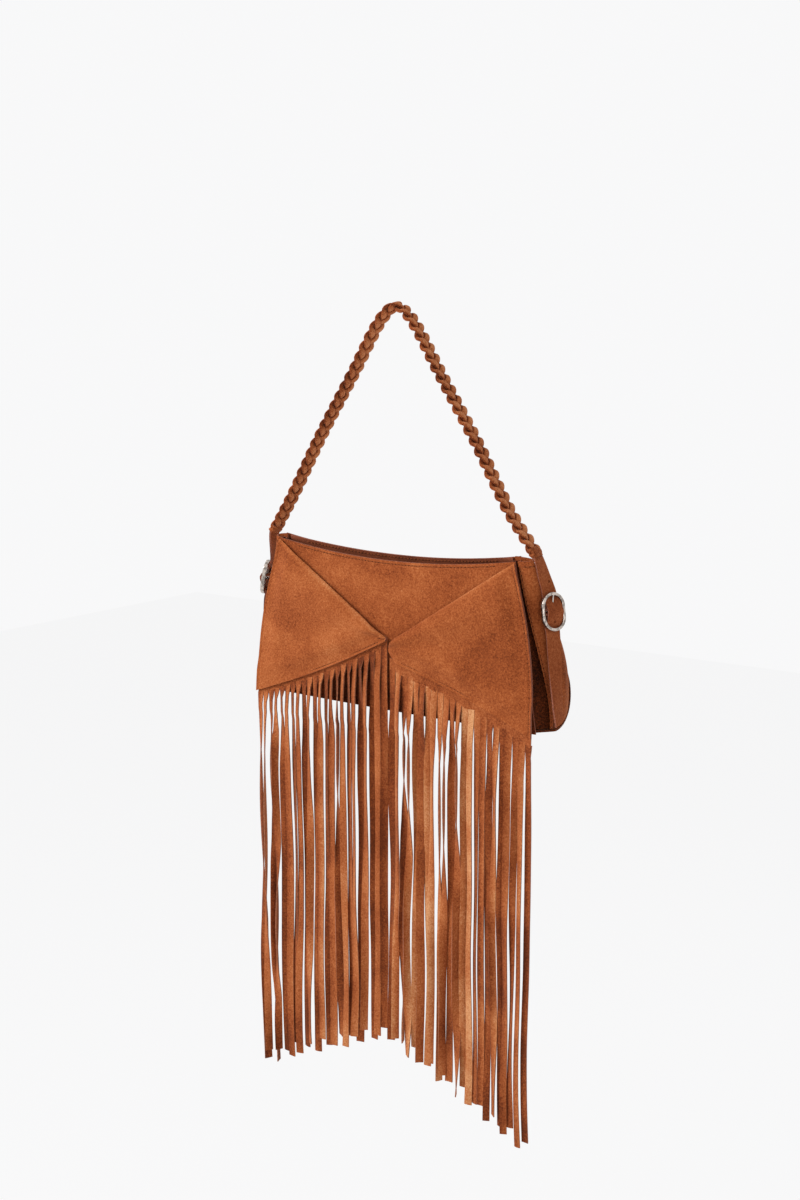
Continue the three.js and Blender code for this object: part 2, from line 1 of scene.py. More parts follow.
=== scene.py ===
# The looks of a fringed suede shoulder bag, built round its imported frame.
import math
import random
import bpy
from mathutils import Matrix, Vector, noise


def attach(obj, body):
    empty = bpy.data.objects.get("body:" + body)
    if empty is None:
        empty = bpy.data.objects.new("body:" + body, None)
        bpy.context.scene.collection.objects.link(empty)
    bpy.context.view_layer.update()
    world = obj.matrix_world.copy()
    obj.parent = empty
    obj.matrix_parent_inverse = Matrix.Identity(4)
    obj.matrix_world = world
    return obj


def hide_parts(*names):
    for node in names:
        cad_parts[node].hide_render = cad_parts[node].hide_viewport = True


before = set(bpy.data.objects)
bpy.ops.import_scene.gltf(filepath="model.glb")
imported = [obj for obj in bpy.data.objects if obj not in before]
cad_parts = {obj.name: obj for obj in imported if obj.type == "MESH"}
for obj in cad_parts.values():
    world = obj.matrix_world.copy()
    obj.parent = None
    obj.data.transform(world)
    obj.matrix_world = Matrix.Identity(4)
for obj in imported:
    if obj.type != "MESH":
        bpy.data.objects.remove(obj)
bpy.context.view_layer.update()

# Studio: a white floor well below the hanging bag and a white room, with one broad soft lamp to the
# bag's front left, a weaker one by the camera and a low one behind. The camera stands at the bag's
# front right, a little above its middle.
bpy.ops.object.camera_add(location=(0.8805, -1.2150, -0.0108))
camera = bpy.context.object
looked_at = Vector((0.0099, -0.0080, -0.2748))


def aimed(thing, target):
    return (target - thing.location).to_track_quat("-Z", "Y").to_euler()


camera.rotation_euler = aimed(camera, looked_at)
camera.data.lens = 47.07
camera.data.sensor_width = 36
bpy.context.scene.camera = camera
bpy.context.scene.view_settings.view_transform = "Standard"

room = bpy.data.worlds.new("white_room")
bpy.context.scene.world = room
room.use_nodes = True
tree = room.node_tree
seen = tree.nodes["Background"]
seen.inputs["Color"].default_value = (0.94, 0.94, 0.945, 1)
cast = tree.nodes.new("ShaderNodeBackground")
cast.inputs["Color"].default_value = (1, 0.985, 0.965, 1)
cast.inputs["Strength"].default_value = 0.52


def looking(tree):
    """1 for rays that look at the background: from the camera, in a mirror or through glass."""
    rays = tree.nodes.new("ShaderNodeLightPath")
    mirrored_too = tree.nodes.new("ShaderNodeMath")
    tree.links.new(rays.outputs["Is Camera Ray"], mirrored_too.inputs[0])
    tree.links.new(rays.outputs["Is Glossy Ray"], mirrored_too.inputs[1])
    through_too = tree.nodes.new("ShaderNodeMath")
    through_too.use_clamp = True
    tree.links.new(mirrored_too.outputs["Value"], through_too.inputs[0])
    tree.links.new(rays.outputs["Is Transmission Ray"], through_too.inputs[1])
    return through_too.outputs["Value"]


either = tree.nodes.new("ShaderNodeMixShader")
tree.links.new(looking(tree), either.inputs["Fac"])
tree.links.new(cast.outputs["Background"], either.inputs[1])
tree.links.new(seen.outputs["Background"], either.inputs[2])
tree.links.new(either.outputs["Shader"], tree.nodes["World Output"].inputs["Surface"])

bpy.ops.mesh.primitive_plane_add(size=9, location=(0, 0, -1.35))
floor = bpy.context.object
floor.name = "floor"
paper = bpy.data.materials.new("white_floor")
paper.use_nodes = True
tree = paper.node_tree
tree.nodes.remove(tree.nodes["Principled BSDF"])
matt = tree.nodes.new("ShaderNodeBsdfDiffuse")
matt.inputs["Color"].default_value = (0.9, 0.9, 0.9, 1)
glow = tree.nodes.new("ShaderNodeEmission")
glow.inputs["Color"].default_value = (0.948, 0.948, 0.953, 1)
share = tree.nodes.new("ShaderNodeMath")
share.operation = "MULTIPLY"
share.inputs[1].default_value = 0.93
either = tree.nodes.new("ShaderNodeMixShader")
tree.links.new(looking(tree), share.inputs[0])
tree.links.new(share.outputs["Value"], either.inputs["Fac"])
tree.links.new(matt.outputs["BSDF"], either.inputs[1])
tree.links.new(glow.outputs["Emission"], either.inputs[2])
tree.links.new(either.outputs["Shader"], tree.nodes["Material Output"].inputs["Surface"])
floor.data.materials.append(paper)

for name, spot, size, watts in (
    ("key", (-1.5, -1.6, 0.85), 1.2, 52),
    ("fill", (1.6, -1.5, 0.3), 1.0, 6),
    ("back", (0.4, 2.0, 0.5), 1.4, 12),
):
    bpy.ops.object.light_add(type="AREA", location=spot)
    lamp = bpy.context.object
    lamp.name = name
    lamp.data.size = size
    lamp.data.energy = watts
    lamp.rotation_euler = aimed(lamp, Vector((0, 0, -0.35)))

# Body panels: front, back and base of lined suede, 1.6 mm thick. The base turns up into the back
# panel in a wide curve. Sizes are in millimetres from the middle of the mouth; the crown of the
# strap, where the bag hangs, is 226 mm above.
MOUTH = Vector((0, -8, -226))
GAP = 0.3
PANEL = 1.6
MOUTH_HALF_WIDTH = 139
BASE_HALF_WIDTH = 173
FRONT_NARROW = 12
BODY_HEIGHT = 160
MOUTH_SAG = 11.6
MOUTH_DEPTH = 11
BASE_DEPTH = 63
DEPTH_SWELL = 2.2
BASE_LEAN = 4
BELLY_MIDDLE = 3.5
BELLY_FOOT = 4
BACK_RISE = 4
BASE_ROUND = 40
BASE_LIP = 1.5
FRONT_EASE = 0.7
BACK_EASE = (1.6, 0.5)
FRINGE_SHADE = 0.15
BASE_SHADE = 0.14


def at_bag(p):
    return (Vector(p) + MOUTH) * 0.001


def mix(a, b, t):
    return a + (b - a) * t


def clamp(x, low=0.0, high=1.0):
    return max(low, min(high, x))


def step(x, low, high):
    t = clamp((x - low) / (high - low))
    return t * t * (3 - 2 * t)


def rough(x, y, z, size, seed=0.0):
    return noise.noise(Vector((x / size + seed, y / size, z / size)))


def half_width(t):
    return mix(MOUTH_HALF_WIDTH, BASE_HALF_WIDTH, t)


def front_half_width(t):
    return half_width(t) - FRONT_NARROW * t


def depth(t):
    return mix(MOUTH_DEPTH, BASE_DEPTH, 1 - (1 - clamp(t)) ** DEPTH_SWELL)


def dip(u):
    return MOUTH_SAG * (1 - u * u)


def front_y(x, z):
    t = clamp(-z / BODY_HEIGHT)
    u = clamp(x / front_half_width(t), -1, 1)
    belly = BELLY_FOOT * t + BELLY_MIDDLE * math.sin(math.pi * t)
    return BASE_LEAN * t - belly * (1 - u * u)


BASE_Z = BASE_LIP - BODY_HEIGHT
BACK_FOOT_Z = BASE_Z + BASE_ROUND + GAP
FOOT_DEPTH = depth(-BACK_FOOT_Z / BODY_HEIGHT)


def front_at(u, v):
    across = 2 * u - 1
    z = mix(-BODY_HEIGHT, -dip(across), v)
    x = across * front_half_width(clamp(-z / BODY_HEIGHT))
    ease = math.sin(math.pi * u) * math.sin(math.pi * v)
    return Vector((x, front_y(x, z) - FRONT_EASE * ease * rough(x, 0, z, 38, 3), z))


def back_at(u, v):
    across = 1 - 2 * u
    z = mix(BACK_FOOT_Z, BACK_RISE - dip(across), v)
    t = clamp(-z / BODY_HEIGHT)
    x = across * half_width(t)
    ease = math.sin(math.pi * u) * step(v, 0, 0.2) * (1 - step(v, 0.9, 1))
    swell = ease * (BACK_EASE[0] * rough(x, 0, z, 70, 8) + BACK_EASE[1] * rough(x, 0, z, 22, 1))
    return Vector((x, depth(t) + swell, z))


def base_at(u, v):
    across = 2 * u - 1
    t = -BASE_Z / BODY_HEIGHT
    front_x = across * front_half_width(t)
    y0 = front_y(front_x, BASE_Z) + PANEL + GAP
    flat = FOOT_DEPTH - BASE_ROUND - y0
    along = (1 - v) * (flat + BASE_ROUND * math.pi / 2)
    if along < flat:
        return Vector((mix(front_x, across * half_width(t), along / flat), y0 + along, BASE_Z))
    a = (along - flat) / BASE_ROUND
    y = FOOT_DEPTH - BASE_ROUND + BASE_ROUND * math.sin(a)
    z = BASE_Z + BASE_ROUND * (1 - math.cos(a))
    return Vector((across * half_width(-z / BODY_HEIGHT), y, z))


def new_finish(name, roughness, specular=0.5):
    """A material, its node tree and shader, and a node that gives the object's coordinates."""
    material = bpy.data.materials.new(name)
    material.use_nodes = True
    tree = material.node_tree
    shader = tree.nodes["Principled BSDF"]
    shader.inputs["Roughness"].default_value = roughness
    shader.inputs["Specular IOR Level"].default_value = specular
    return material, tree, shader, tree.nodes.new("ShaderNodeTexCoord")


def grain(tree, coordinates, scale, detail, roughness=0.6, distortion=0.0):
    texture = tree.nodes.new("ShaderNodeTexNoise")
    texture.inputs["Scale"].default_value = scale
    texture.inputs["Detail"].default_value = detail
    texture.inputs["Roughness"].default_value = roughness
    texture.inputs["Distortion"].default_value = distortion
    tree.links.new(coordinates.outputs["Object"], texture.inputs["Vector"])
    return texture


def weigh(tree, a, share, b=None):
    sum_node = tree.nodes.new("ShaderNodeMath")
    sum_node.operation = "MULTIPLY_ADD"
    sum_node.inputs[1].default_value = share
    tree.links.new(a, sum_node.inputs[0])
    if b is None:
        sum_node.inputs[2].default_value = 0
    else:
        tree.links.new(b, sum_node.inputs[2])
    return sum_node.outputs["Value"]


def tinted(tree, value, tones):
    ramp = tree.nodes.new("ShaderNodeValToRGB")
    ramp.color_ramp.elements[0].position = tones[0][0]
    ramp.color_ramp.elements[0].color = (*tones[0][1], 1)
    ramp.color_ramp.elements[1].position = tones[-1][0]
    ramp.color_ramp.elements[1].color = (*tones[-1][1], 1)
    for place, tone in tones[1:-1]:
        ramp.color_ramp.elements.new(place).color = (*tone, 1)
    tree.links.new(value, ramp.inputs["Fac"])
    return ramp.outputs["Color"]


def raised(tree, value, shader, height, strength=1.0, under=None):
    bump = tree.nodes.new("ShaderNodeBump")
    bump.inputs["Strength"].default_value = strength
    bump.inputs["Distance"].default_value = height
    tree.links.new(value, bump.inputs["Height"])
    if under is not None:
        tree.links.new(under.outputs["Normal"], bump.inputs["Normal"])
    tree.links.new(bump.outputs["Normal"], shader.inputs["Normal"])
    return bump


def suede(name, tones):
    """Brushed leather: a short dense nap, finely mottled, in faint patches. The attribute tone lifts or
    lowers it: in places it is painted light and shade, in others the nap's own lighter or darker lie."""
    material, tree, shader, where = new_finish(name, 0.95, 0.12)
    shader.inputs["Sheen Weight"].default_value = 0.08
    shader.inputs["Sheen Roughness"].default_value = 0.5
    shader.inputs["Sheen Tint"].default_value = (1.0, 0.62, 0.40, 1)
    patches = grain(tree, where, 20, 3, 0.55, 0.5)
    mottle = grain(tree, where, 480, 4, 0.7)
    nap = grain(tree, where, 900, 3, 0.8)
    tone = tree.nodes.new("ShaderNodeAttribute")
    tone.attribute_name = "tone"
    value = weigh(tree, nap.outputs["Fac"], 0.42, tone.outputs["Fac"])
    value = weigh(tree, mottle.outputs["Fac"], 0.33, value)
    value = weigh(tree, patches.outputs["Fac"], 0.26, value)
    tree.links.new(tinted(tree, value, tones), shader.inputs["Base Color"])
    hills = raised(tree, mottle.outputs["Fac"], shader, 0.0006, 0.5)
    raised(tree, nap.outputs["Fac"], shader, 0.0003, 0.6, hills)
    return material


def cut_edge(name, tone):
    """Raw edge of split leather, paler and pinker than the nap, with the fibres lying across it."""
    material, tree, shader, where = new_finish(name, 0.8)
    fibres = grain(tree, where, 700, 3, 0.7)
    pale = tuple(min(1, 1.5 * c) for c in tone)
    deep = tuple(0.55 * c for c in tone)
    colour = tinted(tree, fibres.outputs["Fac"], ((0.35, deep), (0.65, pale)))
    tree.links.new(colour, shader.inputs["Base Color"])
    raised(tree, fibres.outputs["Fac"], shader, 0.0004, 0.5)
    return material


def laid_grid(name, columns, rows, at, tone):
    """A flat grid laid on the shape at(u, v). tone(u, v) is how much lighter or darker the colour is
    there: painted light and shade in places, the nap's own lie in others."""
    bpy.ops.object.select_all(action="DESELECT")
    bpy.ops.mesh.primitive_grid_add(x_subdivisions=columns, y_subdivisions=rows, size=1)
    piece = bpy.context.object
    piece.name = name
    piece.data.name = name
    spots = [(clamp(v.co.x + 0.5), clamp(v.co.y + 0.5)) for v in piece.data.vertices]
    for v, (across, up) in zip(piece.data.vertices, spots):
        v.co = at_bag(at(across, up))
    if tone:
        marks = piece.data.attributes.new("tone", "FLOAT", "POINT")
        marks.data.foreach_set("value", [tone(across, up) for across, up in spots])
    return piece


def leather_sheet(name, columns, rows, at, wall, finishes, tone=None):
    """A sheet cut from leather: a grid laid on the shape, then given its thickness."""
    piece = laid_grid(name, columns, rows, at, tone)
    for finish in finishes:
        piece.data.materials.append(finish)
    thicken = piece.modifiers.new("wall", "SOLIDIFY")
    thicken.thickness = wall * 0.001
    thicken.offset = -1
    thicken.material_offset_rim = len(finishes) - 1
    bpy.ops.object.modifier_apply(modifier="wall")
    bpy.ops.object.shade_smooth_by_angle(angle=math.radians(50))
    return piece


def belongs(piece, slot, body, *nodes):
    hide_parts(*nodes)
    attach(piece, body)


bag_suede = suede(
    "bag_suede",
    (
        (0.28, (0.030, 0.007, 0.003)),
        (0.41, (0.205, 0.043, 0.0105)),
        (0.50, (0.345, 0.085, 0.0225)),
        (0.59, (0.465, 0.142, 0.044)),
        (0.72, (0.640, 0.290, 0.125)),
    ),
)
raw_edge = cut_edge("raw_edge", (0.23, 0.068, 0.034))


# Painted shade: the front panel darkens below the wings, where the fringe hangs in front of it.
def painted_shade_behind_fringe(u, v):
    return -0.012 - FRINGE_SHADE * step(-front_at(u, v).z, 88, 118)


front_panel = leather_sheet(
    "suede_front_panel", 90, 44, front_at, PANEL, (bag_suede, raw_edge), painted_shade_behind_fringe
)
belongs(front_panel, "suede", "bag", "front_panel")
back_panel = leather_sheet("suede_back_panel", 90, 48, back_at, PANEL, (bag_suede, raw_edge))
belongs(back_panel, "suede", "bag", "back_panel")


# Painted shade: the base darkens towards its sides, where the gussets' pleats open over it, and a little
# all over.
def base_painted_shade(u, v):
    return -0.04 - BASE_SHADE * step(abs(2 * u - 1), 0.86, 0.99)


base_panel = leather_sheet(
    "suede_base_panel", 60, 30, base_at, PANEL, (bag_suede,), base_painted_shade
)
belongs(base_panel, "suede", "bag", "base_panel")

# Gussets: one folded-out strip of the same suede on each side, lapped by the panels. Each is narrow
# at the mouth and opens quickly into a soft pleat that stands out past the panels' edges.
LAP = 4
RIDGE_OUT = 15
RIDGE_MOUTHS = {-1: 9, 1: 17}
RIDGE_ROUND = 5
RIDGE_FADE = 4
FOLD_INSET = 0.16
GUSSET_CLEAR = 0.75


def base_top(y):
    r = BASE_ROUND - PANEL - GUSSET_CLEAR
    past = clamp(y - (FOOT_DEPTH - BASE_ROUND), 0, r)
    return BASE_Z + BASE_ROUND - math.sqrt(r * r - past * past)


def gusset_row(t, v, mouth):
    front = front_half_width(t) - LAP
    back = half_width(t) - LAP
    round_by = RIDGE_ROUND * (1 - t) ** RIDGE_FADE
    y0 = BASE_LEAN * t + PANEL + GAP + FOLD_INSET * round_by
    y3 = min(depth(t), FOOT_DEPTH) - PANEL - GUSSET_CLEAR - FOLD_INSET * round_by
    ridge = mix(mouth, RIDGE_OUT * (1 - v**RIDGE_FADE), step(v, 0, 0.25))
    handle = (half_width(t) + ridge - (front + back) / 8) / 0.75
    return ((front, y0), (handle, y0 - round_by), (handle, y3 + round_by), (back, y3))


def gusset_at(s, v, mouth=RIDGE_OUT):
    """The gusset's outer face: s runs round it from front to back and v down. Its foot is cut to the
    base's curve, so its height is found in a few rounds."""
    z = mix(BACK_RISE * s, -BODY_HEIGHT, v)
    for _ in range(4):
        p0, p1, p2, p3 = gusset_row(clamp(-z / BODY_HEIGHT), v, mouth)
        k = ((1 - s) ** 3, 3 * s * (1 - s) ** 2, 3 * s * s * (1 - s), s**3)
        x = k[0] * p0[0] + k[1] * p1[0] + k[2] * p2[0] + k[3] * p3[0]
        y = k[0] * p0[1] + k[1] * p1[1] + k[2] * p2[1] + k[3] * p3[1]
        z = mix(BACK_RISE * s, base_top(y), v)
    return Vector((x, y, z))


PLEAT_DEEP = 36
PLEAT_UNDER = 7
EDGE_AT = (0.07, 0.30)
FOLDS = 1.6
FOOT_CREASE = 1.8
SLACK = 1.1
PLEAT_SHADE = 0.17
TAIL_SHADE = 0.05


def edge_place(down):
    """How far round the gusset its stitched edge runs: by the seam at the mouth, away from it below."""
    return mix(*EDGE_AT, clamp(down) ** 1.3)


def gusset_leather(mouth):
    """The gusset, tucked into a deep pleat behind its stitched front edge, with soft upright folds."""

    def at(u, v):
        down = 1 - v
        edge = edge_place(down)
        if u < edge:
            opened = step(down, -0.3, 0.6) * (1 - 0.6 * step(down, 0.93, 1))
            s = u / edge
            seam, rim = gusset_at(0, down, mouth), gusset_at(edge, down, mouth)
            deep = rim + Vector((PLEAT_UNDER, PLEAT_DEEP, 0)) * opened
            return seam * (1 - s) ** 2 + deep * (2 * s * (1 - s)) + rim * s**2
        point = gusset_at(u, down, mouth)
        soft = math.sin(math.pi * (u - edge) / (1 - edge)) * math.sin(math.pi * v)
        low = step(down, 0.35, 0.9) * (1 - step(down, 0.97, 1))
        crease = math.exp(-(((u - 0.7) / 0.03) ** 2))
        folds = (FOLDS * rough(0, point.y, 0.2 * point.z, 8, 2) - FOOT_CREASE * crease) * low
        point.x += (folds - SLACK * (rough(point.x, point.y, point.z, 30, 5) + 0.6)) * soft
        return point

    return at


# Painted shade: the gusset darkens inside its pleat behind the stitched edge and under the strap end's
# tail, and a little all over.
def gusset_painted_shade(u, v):
    edge = edge_place(1 - v)
    pleat = 1 - step(u, edge - 0.03, edge)
    under_tail = step(u, 0.44, 0.50) * (1 - step(u, 0.56, 0.70)) * (1 - step(v, 0.55, 0.65))
    return -0.02 - PLEAT_SHADE * pleat - TAIL_SHADE * under_tail


def mirrored(at):
    def other(u, v):
        point = at(1 - u, v)
        return Vector((-point.x, point.y, point.z))

    return other


SIDES = (("left", -1), ("right", 1))
for side, sign in SIDES:
    shape = gusset_leather(RIDGE_MOUTHS[sign])
    if sign < 0:
        shape = mirrored(shape)
    tone = gusset_painted_shade if sign > 0 else (lambda u, v: gusset_painted_shade(1 - u, v))
    gusset = leather_sheet(
        "suede_gusset_" + side, 110, 70, shape, PANEL, (bag_suede, raw_edge), tone
    )
    belongs(gusset, "suede", "bag", "gusset_" + side)

# Facings: two thin strips of smooth leather that finish the inside of the mouth, one glued and
# stitched behind the front's upper edge and one inside the back's.
FACING = 0.8
FACING_HEIGHT = 26
FACING_INSET = 7
FACING_BEHIND_FRONT = 0.45
FACING_INSIDE_BACK = 1.1


def hide(name, deep, light, roughness):
    """Smooth leather: a fine pebbled grain with a low shine."""
    material, tree, shader, where = new_finish(name, roughness, 0.35)
    clouds = grain(tree, where, 45, 4, 0.6, 0.4)
    pores = grain(tree, where, 420, 4, 0.7)
    value = weigh(tree, clouds.outputs["Fac"], 0.55)
    value = weigh(tree, pores.outputs["Fac"], 0.45, value)
    colour = tinted(tree, value, ((0.36, deep), (0.64, light)))
    tree.links.new(colour, shader.inputs["Base Color"])
    raised(tree, pores.outputs["Fac"], shader, 0.0005, 0.5)
    return material


facing_hide = hide("facing_hide", (0.20, 0.050, 0.022), (0.34, 0.095, 0.042), 0.6)
INSIDE = 1 - FACING_INSET / MOUTH_HALF_WIDTH


def front_facing_at(u, v):
    x_share = INSIDE * (1 - 2 * u)
    z = mix(-dip(x_share), -BODY_HEIGHT, (1 - v) * FACING_HEIGHT / BODY_HEIGHT)
    x = x_share * front_half_width(clamp(-z / BODY_HEIGHT))
    return Vector((x, front_y(x, z) + PANEL + FACING_BEHIND_FRONT + FACING, z))


def back_facing_at(u, v):
    x_share = INSIDE * (2 * u - 1)
    z = mix(BACK_RISE - dip(x_share), BACK_FOOT_Z, (1 - v) * FACING_HEIGHT / BODY_HEIGHT)
    t = clamp(-z / BODY_HEIGHT)
    return Vector((x_share * half_width(t), depth(t) - PANEL - FACING_INSIDE_BACK - FACING, z))


for name, shape, node in (
    ("leather_front_facing", front_facing_at, "front_facing"),
    ("leather_back_facing", back_facing_at, "back_facing"),
):
    facing = leather_sheet(name, 60, 8, shape, FACING, (facing_hide, raw_edge))
    belongs(facing, "smooth_leather", "bag", node)

# Wings: two big triangles, each one sheet of suede folded in two. The fold is a soft roll along the
# upper edge and round the tip; the lower edges and the right wing's outer edge are stitched through
# both layers. They are sewn to the bag along the mouth corners and stand off its front at their lower
# corners.
WING_WALL = 1.1
WING_EDGE = 2.6
WING_PUFF = 3.8
WING_ROLL = 4.4
WING_DROP = 160
WING_CORNER_X = 165
WING_BOW = 7
WING_FLARE = 11
WING_TIP_Z = -86
WING_SPLIT = 1
WING_SEAM_DIP = 4
RIGHT_TIP_DROP = 22
LEFT_TIP_DROP = 3
FRINGE = 1.5
BAND_ABOVE = 7
STITCH_IN = 2.8
GROOVE_DEEP = 0.7
ROLL_LONG = 15
TIP_ROUND = 0.035
# Painted light: a painted highlight along each wing's fold, and the left wing a little lighter than the
# right, as the key lamp falls on them.
FOLD_PAINTED_HIGHLIGHT = 0.085
FOLD_CROWD = 0.7
EDGE_CROWD = 0.45
SIDE_PAINTED_LIGHT = {-1: 0.006, 1: -0.014}


def tip_share(x, reach):
    return 1 - clamp((x - WING_SPLIT) / (reach - WING_SPLIT))


def seam_z(x, tip_drop):
    u = tip_share(x, WING_CORNER_X)
    sag = (1 if tip_drop > LAP else -1) * WING_SEAM_DIP
    return mix(-WING_DROP, WING_TIP_Z - tip_drop, u) + sag * math.sin(math.pi * u)


def fold_z(x):
    return mix(-1, WING_TIP_Z, tip_share(x, MOUTH_HALF_WIDTH))


def wing_back(x, z, tip_drop):
    low = seam_z(x, tip_drop)
    v = clamp((z - low) / max(fold_z(x) - low, 1))
    flare = WING_FLARE * (1 - tip_share(x, WING_CORNER_X)) ** 1.5 * (1 - v)
    room = (FRINGE + 2 * GAP) * (1 - step(z - low, BAND_ABOVE + 12, BAND_ABOVE + 32))
    return front_y(x, z) - GAP - room - flare


def wing_outline(u, v, tip_drop):
    outer = mix(WING_CORNER_X, MOUTH_HALF_WIDTH, v) + WING_BOW * math.sin(math.pi * v)
    nose = tip_drop / 3 * (1 - math.sin(math.pi * v))
    x = mix(outer, WING_SPLIT + nose, u)
    low = seam_z(mix(WING_CORNER_X, WING_SPLIT + nose, u), tip_drop)
    return x, mix(low, mix(-1, WING_TIP_Z, u), v), outer - x, low


def wing_face(u, v, tip_drop, side, front):
    """A point of the wing's front or back layer, padded between its fold and its stitched edges."""
    x, z, from_outer, low = wing_outline(u, v, tip_drop)
    height = max(fold_z(x) - low, 4)
    roll_from = 1 - min(0.35, ROLL_LONG / height)
    roll = math.sqrt(max(0, 1 - (max(v - roll_from, 0) / (1 - roll_from)) ** 2))
    tip = math.sqrt(max(0, 1 - (max(u - 1 + TIP_ROUND, 0) / TIP_ROUND) ** 2))
    body = math.sin(math.pi * u) ** 0.6 * math.sin(math.pi * v) ** 0.6
    pillow = step(from_outer, 3, 22) * step(z - low, 3, 20)
    loft = WING_EDGE + (WING_ROLL * step(v, 0.5, 0.85) + WING_PUFF * body) * pillow
    creases = 0.55 * rough(x, side * 9, z, 26, 2 + side) + 0.9 * rough(x, side * 5, z, 60, 7 + side)
    loft += 0.9 * creases * pillow * (1 - v * v)
    groove = max(math.exp(-((inside - STITCH_IN) ** 2) / 1.1) for inside in (from_outer, z - low))
    if front:
        loft -= GROOVE_DEEP * groove
    back = wing_back(x, z, tip_drop)
    middle = back - loft / 2
    reach = roll * tip
    return Vector((x, middle - loft / 2 * reach if front else middle + loft / 2 * reach, z))


def wing_leather(tip_drop, side):
    """The folded sheet: q runs up its front, over the fold and down its back. The grid's rows crowd
    towards the fold and its columns towards the outer edge."""

    def at(u, q):
        front = q <= 0.5
        s = 2 * q if front else 2 - 2 * q
        v = mix(s, 1 - (1 - s) ** 2, FOLD_CROWD)
        away = 1 - u
        return wing_face(mix(away, away * away, EDGE_CROWD), v, tip_drop, side, front)

    return at


def thread_finish(name, tone):
    """Twisted thread, a little darker where its fibres part."""
    material, tree, shader, where = new_finish(name, 0.85, 0.1)
    twist = grain(tree, where, 2600, 2)
    dark = tuple(0.6 * c for c in tone)
    light = tuple(1.3 * c for c in tone)
    colour = tinted(tree, twist.outputs["Fac"], ((0.4, dark), (0.6, light)))
    tree.links.new(colour, shader.inputs["Base Color"])
    return material


thread = thread_finish("waxed_thread", (0.26, 0.072, 0.024))
# The needle holes are near-black: painted shade in the holes.
hole_painted_shade = thread_finish("hole_painted_shade", (0.06, 0.014, 0.005))


def spaced(points, pitch):
    """Points a stitch apart along a line, each with the line's direction there."""
    out, left = [], pitch / 2
    for a, b in zip(points, points[1:]):
        way = b - a
        length = way.length
        while left <= length and length > 0:
            out.append((a + way * (left / length), way / length))
            left += pitch
        left -= length
    return out


def sewn(name, lines, body="bag", pitch=4.0):
    """Rows of stitches, each sunk at its ends in a near-black needle hole of painted shade. A line is
    its points and its way out.
    """
    bpy.ops.object.select_all(action="DESELECT")
    bpy.ops.mesh.primitive_uv_sphere_add(segments=6, ring_count=5, radius=0.5)
    one = bpy.context.object
    shape = [v.co.copy() for v in one.data.vertices]
    rings = [tuple(p.vertices) for p in one.data.polygons]
    bpy.data.objects.remove(one)
    verts, faces, finishes = [], [], []
    for points, out in lines:
        for middle, way in spaced(points, pitch):
            side = out.normalized().cross(way).normalized()
            normal = way.cross(side)
            for shift, long, wide, high, finish in (
                (0, 0.68 * pitch, 1.0, 0.75, 0),
                (pitch / 2, 0.30 * pitch, 1.0, 0.35, 1),
            ):
                start = len(verts)
                for p in shape:
                    along = way * (shift + p.z * long)
                    verts.append(at_bag(middle + along + side * (p.x * wide) + normal * (p.y * high)))
                faces.extend(tuple(start + i for i in ring) for ring in rings)
                finishes.extend([finish] * len(rings))
    mesh = bpy.data.meshes.new(name)
    mesh.from_pydata(verts, [], faces)
    mesh.materials.append(thread)
    mesh.materials.append(hole_painted_shade)
    mesh.polygons.foreach_set("material_index", finishes)
    stitches = bpy.data.objects.new(name, mesh)
    bpy.context.collection.objects.link(stitches)
    mesh.shade_smooth()
    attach(stitches, body)
    return stitches


def flipped(points, sign):
    return [Vector((sign * p.x, p.y, p.z)) for p in points]


ROW_POINTS = 60
front = Vector((0, -1, 0))
lift = Vector((0, -0.1, 0))

for side, sign in SIDES:
    tip_drop = RIGHT_TIP_DROP if sign > 0 else LEFT_TIP_DROP
    shape = wing_leather(tip_drop, sign)
    if sign < 0:
        shape = mirrored(shape)

    # Painted light: a painted highlight along the fold, and the whole wing lighter or darker by its
    # side, as the key lamp falls on it.
    def wing_painted_light(u, q):
        spot = shape(u, q)
        return FOLD_PAINTED_HIGHLIGHT * step(spot.z - fold_z(abs(spot.x)), -6, -1) + SIDE_PAINTED_LIGHT[sign]

    wing = leather_sheet(
        "suede_wing_" + side, 96, 96, shape, WING_WALL, (bag_suede, raw_edge), wing_painted_light
    )
    belongs(wing, "suede", "bag", "wing_" + side)

    outer, lower = [], []
    for i in range(ROW_POINTS + 1):
        v = i / ROW_POINTS * 0.97
        width = wing_outline(0, v, tip_drop)[0] - wing_outline(1, v, tip_drop)[0]
        outer.append(wing_face(STITCH_IN / width, v, tip_drop, sign, True) + lift)
        u = mix(0.02, 0.93, i / ROW_POINTS)
        low = wing_outline(u, 0, tip_drop)[3]
        v = STITCH_IN / (mix(-1, WING_TIP_Z, u) - low)
        lower.append(wing_face(u, v, tip_drop, sign, True) + lift)
    rows = [(flipped(lower, sign), front)]
    if sign > 0:
        rows.append((outer, front))
    sewn("stitches_wing_" + side, rows)

tip_bar = [wing_face(share, 0.5, LEFT_TIP_DROP, -1, True) + lift for share in (0.93, 0.955, 0.985)]
sewn("stitches_tack", [(flipped(tip_bar, -1), front)])

